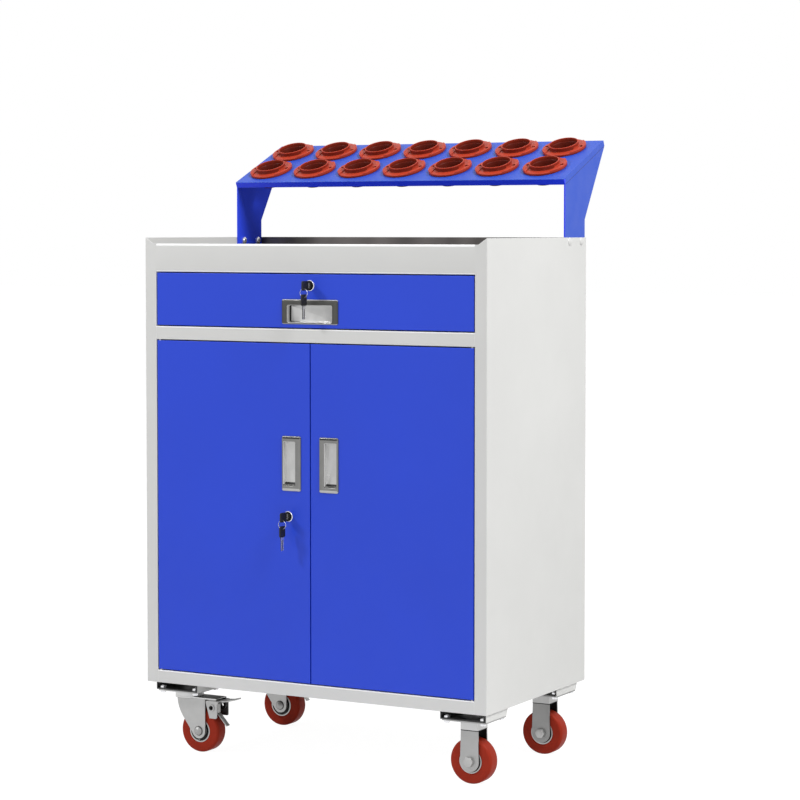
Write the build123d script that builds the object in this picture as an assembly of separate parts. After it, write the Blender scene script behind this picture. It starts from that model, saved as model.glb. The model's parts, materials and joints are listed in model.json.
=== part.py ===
"""Sheet steel tool cabinet on casters, with a sloping rack of tool cups.

Millimetres. X runs to the right seen from the front, Y runs to the back and Z up.
The pieces are modelled with the front face at y = 0 and the floor at z = 0, and are
moved back at the end so that the origin is the middle of the footprint.
"""

from build123d import *
from math import cos, radians, sin
import os

# Carcass
cabinet_width = 700.0
cabinet_depth = 400.0
sheet = 1.2
stile_width = 24.0
stile_return = 20.0
rear_flange = 15.0
fold_radius = 1.0
corner_radius = 2.0
bottom_rail_height = 23.0
door_opening_height = 607.0
middle_rail_height = 24.0
drawer_opening_height = 99.0
top_rail_height = 51.0
side_rise = 11.0
corner_cut_width = 16.0
rim_depth = 12.0
rail_return = 16.0
rail_lip = 10.0
tray_drop = 27.0
tray_hem = 15.0
base_rear_height = 15.0

# Clearances
running_gap = 0.3
pin_clearance = 0.05
seat_gap = 0.05
front_gap = 2.0

# Shelf in the cupboard
shelf_height = 300.0
shelf_edge = 20.0
shelf_front_gap = 6.0
shelf_side_gap = 1.5
clip_width = 14.0
clip_reach = 12.0
clip_sheet = 1.5
clip_inset = 50.0

# Drawer
front_depth = 18.0
drawer_sheet = 1.0
drawer_rear_gap = 38.4
drawer_box_height = 58.0
drawer_box_lift = 6.0
slide_thickness = 12.7
slide_height = 36.0
slide_end_gap = 10.0
slide_sheet = 1.2
slide_lift = 10.0
runner_bracket_length = 30.0
runner_bracket_inset = 25.0
slide_side_gap = 1.5
slide_flange_gap = 1.0
drawer_lock_height = 22.0

# Doors
door_lip = 15.0
hinge_inset = 4.0
hinge_pin_radius = 2.5
hinge_pin_length = 14.0
hinge_block_width = 8.0
hinge_block_height = 12.0
door_lock_inset = 44.4
door_lock_height = 297.5
magnet_width = 40.0
magnet_height = 12.0
magnet_depth = 14.0
magnet_spacing = 60.0
magnet_foot = 6.0
magnet_foot_sheet = 1.5

# Recessed grips: a bevelled frame round a finger cup, thin on its pulling side
grip_length = 115.0
grip_height = 44.0
grip_cup_length = 92.0
grip_cup_height = 30.0
grip_thin_side = 3.5
door_grip_length = 98.0
door_grip_width = 39.0
door_grip_cup_length = 78.0
door_grip_cup_width = 24.5
grip_frame = 2.4
grip_bevel = 1.2
grip_cup_depth = 14.0
grip_cup_wall = 1.2
grip_cup_radius = 2.5
grip_floor_radius = 2.0
grip_corner_radius = 1.8
drawer_grip_middle = 30.5
door_grip_middle = 392.0
door_grip_centre_gap = 19.0

# Cam locks, keys and key rings
bezel_radius = 9.5
bezel_proud = 3.0
bezel_bevel = 1.4
barrel_radius = 8.0
barrel_length = 18.3
barrel_nut_flats = 21.0
barrel_nut = 3.0
plug_radius = 6.4
plug_step = 0.6
cam_thickness = 2.0
cam_width = 12.0
cam_gap = 1.2
cam_nut_flats = 10.0
cam_nut = 3.0
drawer_cam_length = 30.0
door_cam_length = 56.0
keyway_depth = 14.0
key_blade_width = 7.6
key_blade_thickness = 2.0
key_blade_length = 19.0
key_blade_seat = 13.0
key_groove = 0.8
key_shoulder = 5.0
key_shoulder_step = 1.0
bow_length = 20.0
bow_width = 17.0
bow_thickness = 3.2
bow_corner = 3.0
bow_hole_radius = 2.3
bow_hole_edge = 4.0
bow_hole_low = 4.2
ring_radius = 7.2
ring_wire_radius = 0.7

# Tool rack
rack_sheet = 2.0
rack_slope = 23.5
rack_length = 187.0
rack_lip = 11.0
rack_inset = 95.0
rack_rise = 105.0
arm_drop = 20.0
arm_kink = 33.0
arm_back_gap = 1.4
rack_bolt_radius = 4.0
rack_bolt_head_radius = 7.5
rack_bolt_head = 3.0
rack_nut_flats = 13.0
rack_nut_height = 4.0
rack_bolt_tail = 1.2
rack_bolt_inset = 7.0
rack_bolt_first = 19.0
rack_bolt_spacing = 50.0

# Tool cups
cup_columns = 7
cup_pitch = 97.7
cup_row_centre = -6.0
cup_front_row = 56.0
cup_rear_row = 145.5
cup_flange_radius = 41.0
cup_flange = 6.0
cup_flange_edge = 3.2
cup_ear_half_gap = 25.0
cup_collar_radius = 28.0
cup_collar = 6.5
cup_mouth_radius = 26.0
cup_mouth_depth = 7.0
cup_taper_radius = 24.0
cup_taper = 7.0 / 24.0
cup_sleeve_radius = 24.0
cup_sleeve = 26.0
cup_rim_bevel = 1.0
cup_screw_radius = 2.0
cup_screw_head_radius = 3.8
cup_screw_head = 2.4
cup_screw_sunk = 1.0
cup_collar_root = 2.0
cup_screw_circle = 34.5
cup_screw_length = 13.0

# Casters
wheel_radius = 40.0
tyre_width = 28.0
tyre_round = 5.0
hub_radius = 21.5
hub_width = 30.2
hub_core_radius = 11.0
hub_rim_wall = 2.5
hub_dish = 7.0
axle_radius = 6.0
axle_head_flats = 18.0
axle_head = 6.0
axle_dome_radius = 9.0
fork_sheet = 2.5
fork_inside = 31.0
fork_headroom = 19.0
race_height = 11.0
caster_plate = 2.5
caster_plate_width = 86.0
caster_plate_depth = 82.0
caster_plate_corner = 5.0
caster_bolt_spacing_x = 70.0
caster_bolt_spacing_y = 68.0
caster_bolt_radius = 3.0
caster_bolt_flats = 10.0
caster_bolt_head = 4.0
caster_nut = 4.0
caster_bolt_tail = 1.0
bolt_hole_clearance = 0.4
channel_height = 13.0
channel_sheet = 2.0
channel_width = 88.0
channel_depth = 85.0
channel_end_cut = 6.0
front_caster_y = 43.5
rear_caster_inset = 72.0
fixed_caster_inset = 2.5
swivel_caster_inset = 20.5
fixed_fork_width = 32.0
fixed_lug_radius = 18.0
fixed_block_height = 18.5
fixed_block_proud = 0.6
fixed_block_roof = 4.0
swivel_trail = 31.0
swivel_lug_radius = 14.0
swivel_fork_front = 15.0
king_pin_radius = 8.0
king_pin_head_radius = 12.0
king_pin_head = 3.0
race_radius = 26.0
cheek_foot_x = 12.0
cheek_foot_z = 7.0
cheek_waist_x = 9.0
cheek_waist_drop = 32.0

# Brake lever of a swivel caster, placed from the axle
brake_pivot_x = 29.8
brake_pivot_z = 45.4
brake_rivet_radius = 5.0
brake_rivet_bore = 3.8
brake_rivet_head_radius = 6.5
brake_rivet_head = 1.2
brake_sheet = 2.0
brake_ear_half_width = 8.0
brake_cheek_top = 12.6
brake_cheek_left = 13.5
brake_cheek_right = 11.2
brake_cheek_bottom = 19.5
brake_cheek_foot = 15.5
brake_cheek_clearance = 0.6
brake_cheek_corner = 3.0
brake_cheek_toe = 2.0
brake_web_height = 5.0
brake_pedal_length = 36.0
brake_pedal_rise = 6.0
brake_pedal_bend = 1.5
brake_pedal_width = 28.0
brake_pedal_corner = 11.0
brake_tongue_x = 1.2
brake_tongue_bend = 12.3
brake_tongue_reach = 11.0
brake_tongue_drop = 35.0
brake_tongue_width = 10.0

# Heights worked out from the floor up
crown_bottom = 2 * wheel_radius + fork_headroom
crown_top = crown_bottom + fork_sheet
plate_bottom = crown_top + race_height
caster_top = plate_bottom + caster_plate
body_bottom = caster_top + channel_height
door_opening_bottom = body_bottom + bottom_rail_height
door_opening_top = door_opening_bottom + door_opening_height
drawer_opening_bottom = door_opening_top + middle_rail_height
drawer_opening_top = drawer_opening_bottom + drawer_opening_height
rim_top = drawer_opening_top + top_rail_height
side_top = rim_top + side_rise
tray_floor = rim_top - tray_drop

# Widths and depths
half_width = cabinet_width / 2
inside_half = half_width - sheet
opening_half = half_width - stile_width
back_face = cabinet_depth - sheet
back_panel_front = back_face - sheet
base_rear = back_panel_front - sheet
drawer_box_length = base_rear - drawer_rear_gap - front_depth
slide_length = drawer_box_length - slide_end_gap
rack_front = cabinet_depth - rack_inset
rear_caster_y = cabinet_depth - rear_caster_inset
slide_outer_half = opening_half - slide_side_gap
drawer_box_half = slide_outer_half - slide_thickness
fork_half = fork_inside / 2
fork_outside = fork_half + fork_sheet


def block(x_span, y_span, z_span):
    """A box between two limits on each axis."""
    size = [max(span) - min(span) for span in (x_span, y_span, z_span)]
    middle = [(span[0] + span[1]) / 2 for span in (x_span, y_span, z_span)]
    return Pos(*middle) * Box(*size)


def rod(start, direction, radius, length):
    """A cylinder that starts at a point and runs along a direction."""
    plane = Plane(origin=start, z_dir=direction)
    return plane * Cylinder(radius, length, align=(Align.CENTER, Align.CENTER, Align.MIN))


def cone(start, direction, first_radius, last_radius, length):
    """A cone frustum that starts at a point and runs along a direction."""
    plane = Plane(origin=start, z_dir=direction)
    align = (Align.CENTER, Align.CENTER, Align.MIN)
    return plane * Cone(first_radius, last_radius, length, align=align)


def hexagon(start, direction, flats, length):
    """A hexagonal head or nut, measured across its flats."""
    plane = Plane(origin=start, z_dir=direction)
    face = RegularPolygon(radius=flats / 2, side_count=6, major_radius=False)
    return plane * extrude(face, amount=length)


def prism_xz(points, y_start, y_end):
    """An outline of (x, z) points, extruded from one y to another."""
    outline = Polyline(*[(x, y_start, z) for x, z in points], close=True)
    return extrude(make_face(outline), amount=y_end - y_start, dir=(0, 1, 0))


def prism_yz(points, x_start, x_end):
    """An outline of (y, z) points, extruded from one x to another."""
    outline = Polyline(*[(x_start, y, z) for y, z in points], close=True)
    return extrude(make_face(outline), amount=x_end - x_start, dir=(1, 0, 0))


def edges_near(shape, along, **place):
    """Edges along an axis whose middle has the given coordinates."""

    def fits(edge):
        middle = edge.center()
        return all(abs(getattr(middle, axis) - value) < 0.01 for axis, value in place.items())

    return shape.edges().filter_by(along).filter_by(fits)


def group(shapes):
    """One compound of separate solids."""
    return Compound([solid for shape in shapes for solid in shape.solids()])


def bent_strip(path, thickness):
    """Outline of a bent strip: a path of (x, z) points and its copy on the right."""
    normals = []
    for (x0, z0), (x1, z1) in zip(path, path[1:]):
        length = ((x1 - x0) ** 2 + (z1 - z0) ** 2) ** 0.5
        normals.append(((z1 - z0) / length, (x0 - x1) / length))
    copy = []
    for (x, z), (ax, az), (bx, bz) in zip(path, normals[:1] + normals, normals + normals[-1:]):
        share = thickness / (1 + ax * bx + az * bz)
        copy.append((x + share * (ax + bx), z + share * (az + bz)))
    return path + copy[::-1]


def mirrored(shape, side):
    """The shape as built for the right side, or its mirror image for the left."""
    return shape if side > 0 else mirror(shape, about=Plane.YZ)


def rail_welds():
    """Heights over which a stile's folded edge is filled and dressed flush with a rail."""
    return [
        (body_bottom, door_opening_bottom - fold_radius),
        (door_opening_top + fold_radius, drawer_opening_bottom - fold_radius),
        (drawer_opening_top + fold_radius, rim_top - corner_radius / 2),
    ]


def side_panel(side):
    """One wall with its front stile, the stile's return and a rear flange."""
    heights = (body_bottom, side_top)
    panel = block((inside_half, half_width), (0, cabinet_depth), heights)
    panel += block((opening_half, half_width), (0, sheet), heights)
    panel += block((opening_half, opening_half + sheet), (0, stile_return), (body_bottom, rim_top))
    panel += block((half_width - rear_flange, half_width), (back_face, cabinet_depth), heights)
    cut_foot = inside_half - corner_cut_width
    cut = [
        (opening_half - 1, side_top + 1),
        (opening_half - 1, rim_top),
        (cut_foot, rim_top),
        (inside_half, side_top),
        (inside_half, side_top + 1),
    ]
    panel -= prism_xz(cut, -1, stile_return)
    for y in (0, cabinet_depth):
        panel = fillet(edges_near(panel, Axis.Z, X=half_width, Y=y), corner_radius)
    panel = fillet(edges_near(panel, Axis.Z, X=opening_half, Y=0), fold_radius)
    flush_x = (opening_half, opening_half + fold_radius)
    for low, high in rail_welds():
        panel += block(flush_x, (0, fold_radius), (low, high))
    return mirrored(panel, side)


def base_panel():
    """Cupboard floor with the bottom rail folded up at the front and a rear upstand."""
    full = (-inside_half, inside_half)
    front = (-opening_half, opening_half)
    thickness = (body_bottom, body_bottom + sheet)
    floor = block(full, (stile_return, base_rear), thickness)
    floor += block(front, (0, stile_return), thickness)
    floor += block(front, (0, sheet), (body_bottom, door_opening_bottom))
    floor += block(front, (0, rail_return), (door_opening_bottom - sheet, door_opening_bottom))
    rear_top = body_bottom + base_rear_height
    floor += block(full, (base_rear, back_panel_front), (body_bottom, rear_top))
    return fillet(edges_near(floor, Axis.X, Y=0, Z=door_opening_bottom), fold_radius)


def middle_rail():
    """Channel between the drawer and the doors."""
    across = (-opening_half, opening_half)
    rail = block(across, (0, sheet), (door_opening_top, drawer_opening_bottom))
    for low in (door_opening_top, drawer_opening_bottom - sheet):
        rail += block(across, (0, rail_return), (low, low + sheet))
    for z in (door_opening_top, drawer_opening_bottom):
        rail = fillet(edges_near(rail, Axis.X, Y=0, Z=z), fold_radius)
    return rail


def top_rail():
    """Front rail over the drawer, with a rolled rim on top and a stiffening lip below."""
    across = (-opening_half, opening_half)
    rail = block(across, (0, sheet), (drawer_opening_top, rim_top))
    rail += block(across, (0, rim_depth), (rim_top - sheet, rim_top))
    rail += block(across, (rim_depth - sheet, rim_depth), (tray_floor, rim_top))
    rail += block(across, (0, rail_return), (drawer_opening_top, drawer_opening_top + sheet))
    lip_top = drawer_opening_top + rail_lip
    rail += block(across, (rail_return - sheet, rail_return), (drawer_opening_top, lip_top))
    for y in (0, rim_depth):
        rail = fillet(edges_near(rail, Axis.X, Y=y, Z=rim_top), corner_radius / 2)
    return fillet(edges_near(rail, Axis.X, Y=0, Z=drawer_opening_top), fold_radius)


def top_tray():
    """Sunken metal tray: a floor, side hems welded to the walls and a rear upstand."""
    low = tray_floor - sheet
    full = (-inside_half, inside_half)
    front = stile_return + seat_gap
    tray = block(full, (front, back_panel_front), (low, tray_floor))
    tray += block((-opening_half, opening_half), (rim_depth - sheet, front), (low, tray_floor))
    for side in (-1, 1):
        edge = sorted((side * inside_half, side * (inside_half - sheet)))
        tray += block(edge, (front, back_panel_front), (low - tray_hem, low))
    return tray + block(full, (base_rear, back_panel_front), (tray_floor, side_top))


def back_panel():
    """Flat rear sheet inside the rear flanges of the walls."""
    return block((-inside_half, inside_half), (back_panel_front, back_face), (body_bottom, side_top))


def shelf_top():
    """Height of the shelf's top face."""
    return door_opening_bottom + shelf_height


def shelf():
    """Loose shelf with a folded edge at the front and the rear."""
    top = shelf_top()
    half = inside_half - shelf_side_gap
    span = (stile_return + shelf_front_gap, base_rear - shelf_side_gap)
    plate = block((-half, half), span, (top - sheet, top))
    for y in (span[0], span[1] - sheet):
        plate += block((-half, half), (y, y + sheet), (top - shelf_edge, top))
    return fillet(edges_near(plate, Axis.X, Y=span[0], Z=top), fold_radius)


def shelf_clips():
    """Four bent clips on the walls that the shelf rests on."""
    top = shelf_top() - sheet
    clips = []
    for side in (-1, 1):
        for y in (stile_return + clip_inset, base_rear - clip_inset):
            span = (y - clip_width / 2, y + clip_width / 2)
            wall = block((inside_half - clip_sheet, inside_half), span, (top - clip_reach, top))
            seat = block((inside_half - clip_reach, inside_half), span, (top - clip_sheet, top))
            clips.append(mirrored(wall + seat, side))
    return group(clips)


def front_pan(x_span, z_span, lip):
    """A door or drawer front: a sheet with its four edges folded back."""
    front = block(x_span, (0, front_depth), z_span)
    inner_x = (x_span[0] + sheet, x_span[1] - sheet)
    inner_z = (z_span[0] + sheet, z_span[1] - sheet)
    back = front_depth - sheet if lip else front_depth + 1
    front -= block(inner_x, (sheet, back), inner_z)
    if lip:
        open_x = (x_span[0] + lip, x_span[1] - lip)
        open_z = (z_span[0] + lip, z_span[1] - lip)
        front -= block(open_x, (back - 1, front_depth + 1), open_z)
    edges = [edge for x in x_span for edge in edges_near(front, Axis.Z, X=x, Y=0)]
    edges += [edge for z in z_span for edge in edges_near(front, Axis.X, Y=0, Z=z)]
    return fillet(edges, fold_radius)


def grip(length, height, cup_length, cup_height, thin_side):
    """Recessed grip about the origin, length along X, its thin side at the bottom.

    Returns the grip and the hole that it needs in its panel.
    """
    cup_low = -height / 2 + thin_side
    cup_z = (cup_low, cup_low + cup_height)
    cup_x = (-cup_length / 2, cup_length / 2)
    frame = block((-length / 2, length / 2), (-grip_frame, 0), (-height / 2, height / 2))
    frame = fillet(frame.edges().filter_by(Axis.Y), grip_corner_radius)
    rim = frame.faces().sort_by(Axis.Y)[0].edges()
    frame = chamfer(rim, grip_bevel)
    wall = grip_cup_wall
    outer_x = (cup_x[0] - wall, cup_x[1] + wall)
    outer_z = (cup_z[0] - wall, cup_z[1] + wall)
    shell = block(outer_x, (-grip_frame / 2, grip_cup_depth), outer_z)
    shell = fillet(shell.edges().filter_by(Axis.Y), grip_cup_radius + wall)
    hollow = block(cup_x, (-grip_frame - 1, grip_cup_depth - wall), cup_z)
    hollow = fillet(hollow.edges().filter_by(Axis.Y), grip_cup_radius)
    floor_edges = hollow.faces().sort_by(Axis.Y)[-1].edges()
    hollow = fillet(floor_edges, grip_floor_radius)
    hole_x = (outer_x[0] - seat_gap, outer_x[1] + seat_gap)
    hole_z = (outer_z[0] - seat_gap, outer_z[1] + seat_gap)
    hole = block(hole_x, (-1, sheet + 1), hole_z)
    hole = fillet(hole.edges().filter_by(Axis.Y), grip_cup_radius + wall)
    return frame + shell - hollow, hole


def drawer_grip_place():
    """Where the drawer's grip sits on the drawer front."""
    return Pos(0, 0, drawer_opening_bottom + drawer_grip_middle)


def door_grip_place(side):
    """The grip stands upright, its thin side away from the gap between the doors."""
    x = side * (door_grip_centre_gap + door_grip_width / 2)
    return Pos(x, 0, door_opening_bottom + door_grip_middle) * Rot(0, -90 * side, 0)


def drawer_lock_place():
    """Middle of the drawer's lock on the front face."""
    return (0, 0, drawer_opening_top - drawer_lock_height)


def door_lock_place():
    """Middle of the left door's lock on the front face."""
    x = -front_gap / 2 - door_lock_inset
    return (x, 0, door_opening_bottom + door_lock_height)


def lock_hole(place):
    """Panel hole for a lock barrel."""
    x, y, z = place
    return rod((x, -1, z), (0, 1, 0), barrel_radius + seat_gap, sheet + 2)


def lock_barrel(place):
    """Bevelled bezel and threaded body, bored for the plug, with its clamp nut."""
    x, y, z = place
    bezel = rod((x, -bezel_proud, z), (0, 1, 0), bezel_radius, bezel_proud)
    bezel = chamfer(bezel.faces().sort_by(Axis.Y)[0].edges(), bezel_bevel)
    barrel = bezel + rod((x, 0, z), (0, 1, 0), barrel_radius, barrel_length)
    barrel += hexagon((x, sheet, z), (0, 1, 0), barrel_nut_flats, barrel_nut)
    bore_start = -bezel_proud - 1
    bore_length = barrel_length + 1 - bore_start
    bore = rod((x, bore_start, z), (0, 1, 0), plug_radius + pin_clearance, bore_length)
    return barrel - bore


def lock_plug(place, cam_length, cam_direction):
    """Plug with its keyway, and the cam on its inner end."""
    x, y, z = place
    start = -bezel_proud + plug_step
    cam_start = barrel_length + cam_gap
    plug = rod((x, start, z), (0, 1, 0), plug_radius, cam_start - start)
    keyway_half_x = key_blade_thickness / 2 + seat_gap
    keyway_half_z = key_blade_width / 2 + seat_gap
    keyway_x = (x - keyway_half_x, x + keyway_half_x)
    keyway_z = (z - keyway_half_z, z + keyway_half_z)
    plug -= block(keyway_x, (start - 1, start + keyway_depth), keyway_z)
    half = cam_width / 2
    depth = (cam_start, cam_start + cam_thickness)
    along = (-half, cam_length - half)
    if cam_direction == "right":
        cam = block((x + along[0], x + along[1]), depth, (z - half, z + half))
        tip = (x + along[1], cam_start, z)
    else:
        cam = block((x - half, x + half), depth, (z - along[1], z - along[0]))
        tip = (x, cam_start, z - along[1])
    cam += rod(tip, (0, 1, 0), half, cam_thickness)
    nut = hexagon((x, depth[1], z), (0, 1, 0), cam_nut_flats, cam_nut)
    return plug + cam + nut


def key_shape(blade_length, hole_z):
    """A key in the YZ plane: blade along +Y from the origin, bow towards -Y."""
    bow_y = (-key_shoulder - bow_length, -key_shoulder)
    half = bow_thickness / 2
    bow = block((-half, half), bow_y, (-bow_width / 2, bow_width / 2))
    bow = fillet(bow.edges().filter_by(Axis.X), bow_corner)
    hole_y = bow_y[0] + bow_hole_edge + bow_hole_radius
    bow -= rod((-half - 1, hole_y, hole_z), (1, 0, 0), bow_hole_radius, bow_thickness + 2)
    thick = key_blade_thickness / 2
    wide = key_blade_width / 2
    step = wide + key_shoulder_step
    shoulder = block((-thick, thick), (-key_shoulder, 0), (-step, step))
    blade = block((-thick, thick), (0, blade_length), (-wide, wide))
    for side in (-1, 1):
        edge = sorted((side * thick, side * thick / 2))
        blade -= block(edge, (-0.5, blade_length + 1), (-key_groove, key_groove))
    return bow + shoulder + blade, (0, hole_y, hole_z)


def key_in_lock(place):
    """The key in its lock, its blade in the keyway, and the place of its ring hole."""
    x, y, z = place
    face = -bezel_proud + plug_step
    shape, hole = key_shape(key_blade_seat, -bow_hole_low)
    return Pos(x, face, z) * shape, (x, face + hole[1], z + hole[2])


def ring_wire_top(hole):
    """Centre of the ring's wire where it hangs in the key's hole."""
    x, y, z = hole
    return (x, y, z - bow_hole_radius + ring_wire_radius + running_gap)


def key_ring(hole):
    """Wire ring that hangs from the key in the lock."""
    x, y, z = ring_wire_top(hole)
    plane = Plane(origin=(x, y, z - ring_radius), z_dir=(0, 1, 0))
    return plane * Torus(ring_radius, ring_wire_radius)


def spare_key(hole):
    """Second key, hanging from the bottom of the ring."""
    x, y, z = ring_wire_top(hole)
    wire_z = z - 2 * ring_radius
    shape, own_hole = key_shape(key_blade_length, 0)
    hanging = Rot(-90, 0, 0) * shape
    hole_z = wire_z - (bow_hole_radius - ring_wire_radius - running_gap)
    return Pos(x, y, hole_z + own_hole[1]) * hanging


def drawer_front():
    front_x = (-opening_half + front_gap, opening_half - front_gap)
    front_z = (drawer_opening_bottom + front_gap, drawer_opening_top - front_gap)
    front = front_pan(front_x, front_z, 0)
    hole = drawer_grip_place() * drawer_grip()[1]
    return front - hole - lock_hole(drawer_lock_place())


def drawer_grip():
    """The drawer's grip and its panel hole, about the origin."""
    return grip(grip_length, grip_height, grip_cup_length, grip_cup_height, grip_thin_side)


def door_grip():
    """A door's grip and its panel hole, about the origin."""
    cup = (door_grip_cup_length, door_grip_cup_width)
    return grip(door_grip_length, door_grip_width, *cup, grip_thin_side)


def drawer_box():
    """Open box behind the drawer front."""
    bottom = drawer_opening_bottom + drawer_box_lift
    top = bottom + drawer_box_height
    outer_y = (front_depth, front_depth + drawer_box_length)
    box = block((-drawer_box_half, drawer_box_half), outer_y, (bottom, top))
    inner_y = (outer_y[0] + drawer_sheet, outer_y[1] - drawer_sheet)
    inner_half = drawer_box_half - drawer_sheet
    return box - block((-inner_half, inner_half), inner_y, (bottom + drawer_sheet, top + 1))


def slide_spans():
    """Heights of the fixed runner and of the slide that rides inside it."""
    bottom = drawer_opening_bottom + drawer_box_lift + slide_lift
    outer = (bottom, bottom + slide_height)
    inset = slide_sheet + running_gap
    return outer, (outer[0] + inset, outer[1] - inset)


def drawer_slides():
    """Channels on the drawer's sides, open to the outside."""
    heights = slide_spans()[1]
    span = (front_depth, front_depth + slide_length)
    slides = []
    for side in (-1, 1):
        web = block((drawer_box_half, drawer_box_half + slide_sheet), span, heights)
        for z in (heights[0], heights[1] - slide_sheet):
            reach = (drawer_box_half, slide_outer_half - slide_sheet - slide_flange_gap)
            web += block(reach, span, (z, z + slide_sheet))
        slides.append(mirrored(web, side))
    return group(slides)


def cabinet_runners():
    """Channels that carry the slides, each on two bent brackets to the wall."""
    heights = slide_spans()[0]
    span = (stile_return + running_gap, front_depth + slide_length)
    runners = []
    for side in (-1, 1):
        runner = block((slide_outer_half - slide_sheet, slide_outer_half), span, heights)
        for z in (heights[0], heights[1] - slide_sheet):
            reach = (drawer_box_half + slide_sheet + slide_flange_gap, slide_outer_half)
            runner += block(reach, span, (z, z + slide_sheet))
        rear_foot = span[1] - runner_bracket_inset - runner_bracket_length
        for y in (span[0] + runner_bracket_inset, rear_foot):
            foot = (y, y + runner_bracket_length)
            runner += block((slide_outer_half, inside_half), (y, y + slide_sheet), heights)
            runner += block((inside_half - slide_sheet, inside_half), foot, heights)
        runners.append(mirrored(runner, side))
    return group(runners)


def door_spans(side):
    """Width and height of a door, in its opening with the gap all round."""
    edges = sorted((side * front_gap / 2, side * (opening_half - front_gap)))
    return edges, (door_opening_bottom + front_gap, door_opening_top - front_gap)


def hinge_axis(side):
    """X and Y of the axis that a door turns about."""
    return side * (opening_half - front_gap - hinge_inset), hinge_inset


def door(side):
    """Door pan with lips, a bored hinge block at each end and its grip and lock holes."""
    x_span, z_span = door_spans(side)
    pan = front_pan(x_span, z_span, door_lip)
    pivot_x, pivot_y = hinge_axis(side)
    outer = side * (opening_half - front_gap - sheet)
    reach = sorted((outer, pivot_x - side * hinge_block_width / 2))
    for low in (z_span[0] + sheet, z_span[1] - sheet - hinge_block_height):
        pan += block(reach, (sheet, 2 * pivot_y), (low, low + hinge_block_height))
    bore_radius = hinge_pin_radius + pin_clearance
    depth = front_gap + hinge_pin_length + 1
    pan -= rod((pivot_x, pivot_y, z_span[0] - 1), (0, 0, 1), bore_radius, depth)
    pan -= rod((pivot_x, pivot_y, z_span[1] + 1), (0, 0, -1), bore_radius, depth)
    pan -= door_grip_place(side) * door_grip()[1]
    if side < 0:
        pan -= lock_hole(door_lock_place())
    return pan


def hinge_pins():
    """Four pins on the rails that the doors turn on."""
    pins = []
    length = front_gap + hinge_pin_length
    for side in (-1, 1):
        x, y = hinge_axis(side)
        pins.append(rod((x, y, door_opening_bottom), (0, 0, 1), hinge_pin_radius, length))
        pins.append(rod((x, y, door_opening_top), (0, 0, -1), hinge_pin_radius, length))
    return group(pins)


def door_magnets():
    """Two magnetic catches under the middle rail, just behind the doors."""
    catches = []
    low = door_opening_top - magnet_height
    depth = (front_depth + running_gap, front_depth + running_gap + magnet_depth)
    for side in (-1, 1):
        x = side * magnet_spacing / 2
        span = (x - magnet_width / 2, x + magnet_width / 2)
        catch = block(span, depth, (low, door_opening_top))
        foot = (rail_return - magnet_foot, depth[1])
        catch += block(span, foot, (door_opening_top - magnet_foot_sheet, door_opening_top))
        catches.append(catch)
    return group(catches)


def rack_plane():
    """Top face of the rack: x to the right, y up the slope, z out of the face."""
    angle = radians(rack_slope)
    origin = (0, rack_front, side_top + rack_rise)
    return Plane(origin=origin, x_dir=(1, 0, 0), z_dir=(0, -sin(angle), cos(angle)))


def cup_places():
    """Centres of the cups on the rack's face, the front row first."""
    first = cup_row_centre - cup_pitch * (cup_columns - 1) / 2
    rows = (cup_front_row, cup_rear_row)
    return [[(first + cup_pitch * i, row) for i in range(cup_columns)] for row in rows]


def rack_plate():
    """Sloping plate with a lip on all four sides and a hole for each cup and screw."""
    plane = rack_plane()
    half = inside_half
    plate = block((-half, half), (0, rack_length), (-rack_lip, 0))
    inner = (-half + rack_sheet, half - rack_sheet)
    plate -= block(inner, (rack_sheet, rack_length - rack_sheet), (-rack_lip - 1, -rack_sheet))
    plate = fillet(edges_near(plate, Axis.X, Y=0, Z=0), fold_radius)
    plate = fillet(edges_near(plate, Axis.X, Y=rack_length, Z=0), fold_radius)
    low = -rack_sheet - 1
    through = rack_sheet + 2
    sleeve_hole = cup_sleeve_radius + running_gap
    screw_hole = cup_screw_radius + pin_clearance
    for x, y in cup_places()[0] + cup_places()[1]:
        plate -= rod((x, y, low), (0, 0, 1), sleeve_hole, through)
        for side in (-1, 1):
            plate -= rod((x + side * cup_screw_circle, y, low), (0, 0, 1), screw_hole, through)
    return plane * plate


def arm_points():
    """Outline of a rack arm, seen from the side."""
    angle = radians(rack_slope)
    front_y = rack_front + rack_lip * sin(angle)
    front_z = side_top + rack_rise - rack_lip * cos(angle)
    rear_y = front_y + rack_length * cos(angle)
    rear_z = front_z + rack_length * sin(angle)
    back_y = base_rear - arm_back_gap
    foot = side_top - arm_drop
    return [
        (front_y, foot),
        (front_y, front_z),
        (rear_y, rear_z),
        (back_y, side_top + arm_kink),
        (back_y, foot),
    ]


def rack_bolt_places():
    """Y and Z of the two bolts that hold an arm to its wall."""
    y = arm_points()[0][0] + rack_bolt_first
    z = side_top - rack_bolt_inset
    return [(y, z), (y + rack_bolt_spacing, z)]


def rack_arm(side):
    """Flat arm inside a wall, welded to the plate's side lip."""
    arm = prism_yz(arm_points(), inside_half - rack_sheet, inside_half)
    for y, z in rack_bolt_places():
        radius = rack_bolt_radius + pin_clearance
        arm -= rod((inside_half - rack_sheet - 1, y, z), (1, 0, 0), radius, rack_sheet + 2)
    return mirrored(arm, side)


def rack_bolt_holes(side):
    """Holes in a wall for the rack bolts."""
    start = inside_half - 1
    radius = rack_bolt_radius + pin_clearance
    holes = [rod((start, y, z), (1, 0, 0), radius, sheet + 2) for y, z in rack_bolt_places()]
    return mirrored(group(holes), side)


def domed_head(radius, height):
    """Shallow dome on the XY plane, rising along Z."""
    sphere_radius = (radius * radius + height * height) / (2 * height)
    ball = Pos(0, 0, height - sphere_radius) * Sphere(sphere_radius)
    keep = Cylinder(radius + 1, height + 1, align=(Align.CENTER, Align.CENTER, Align.MIN))
    return ball & keep


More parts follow.
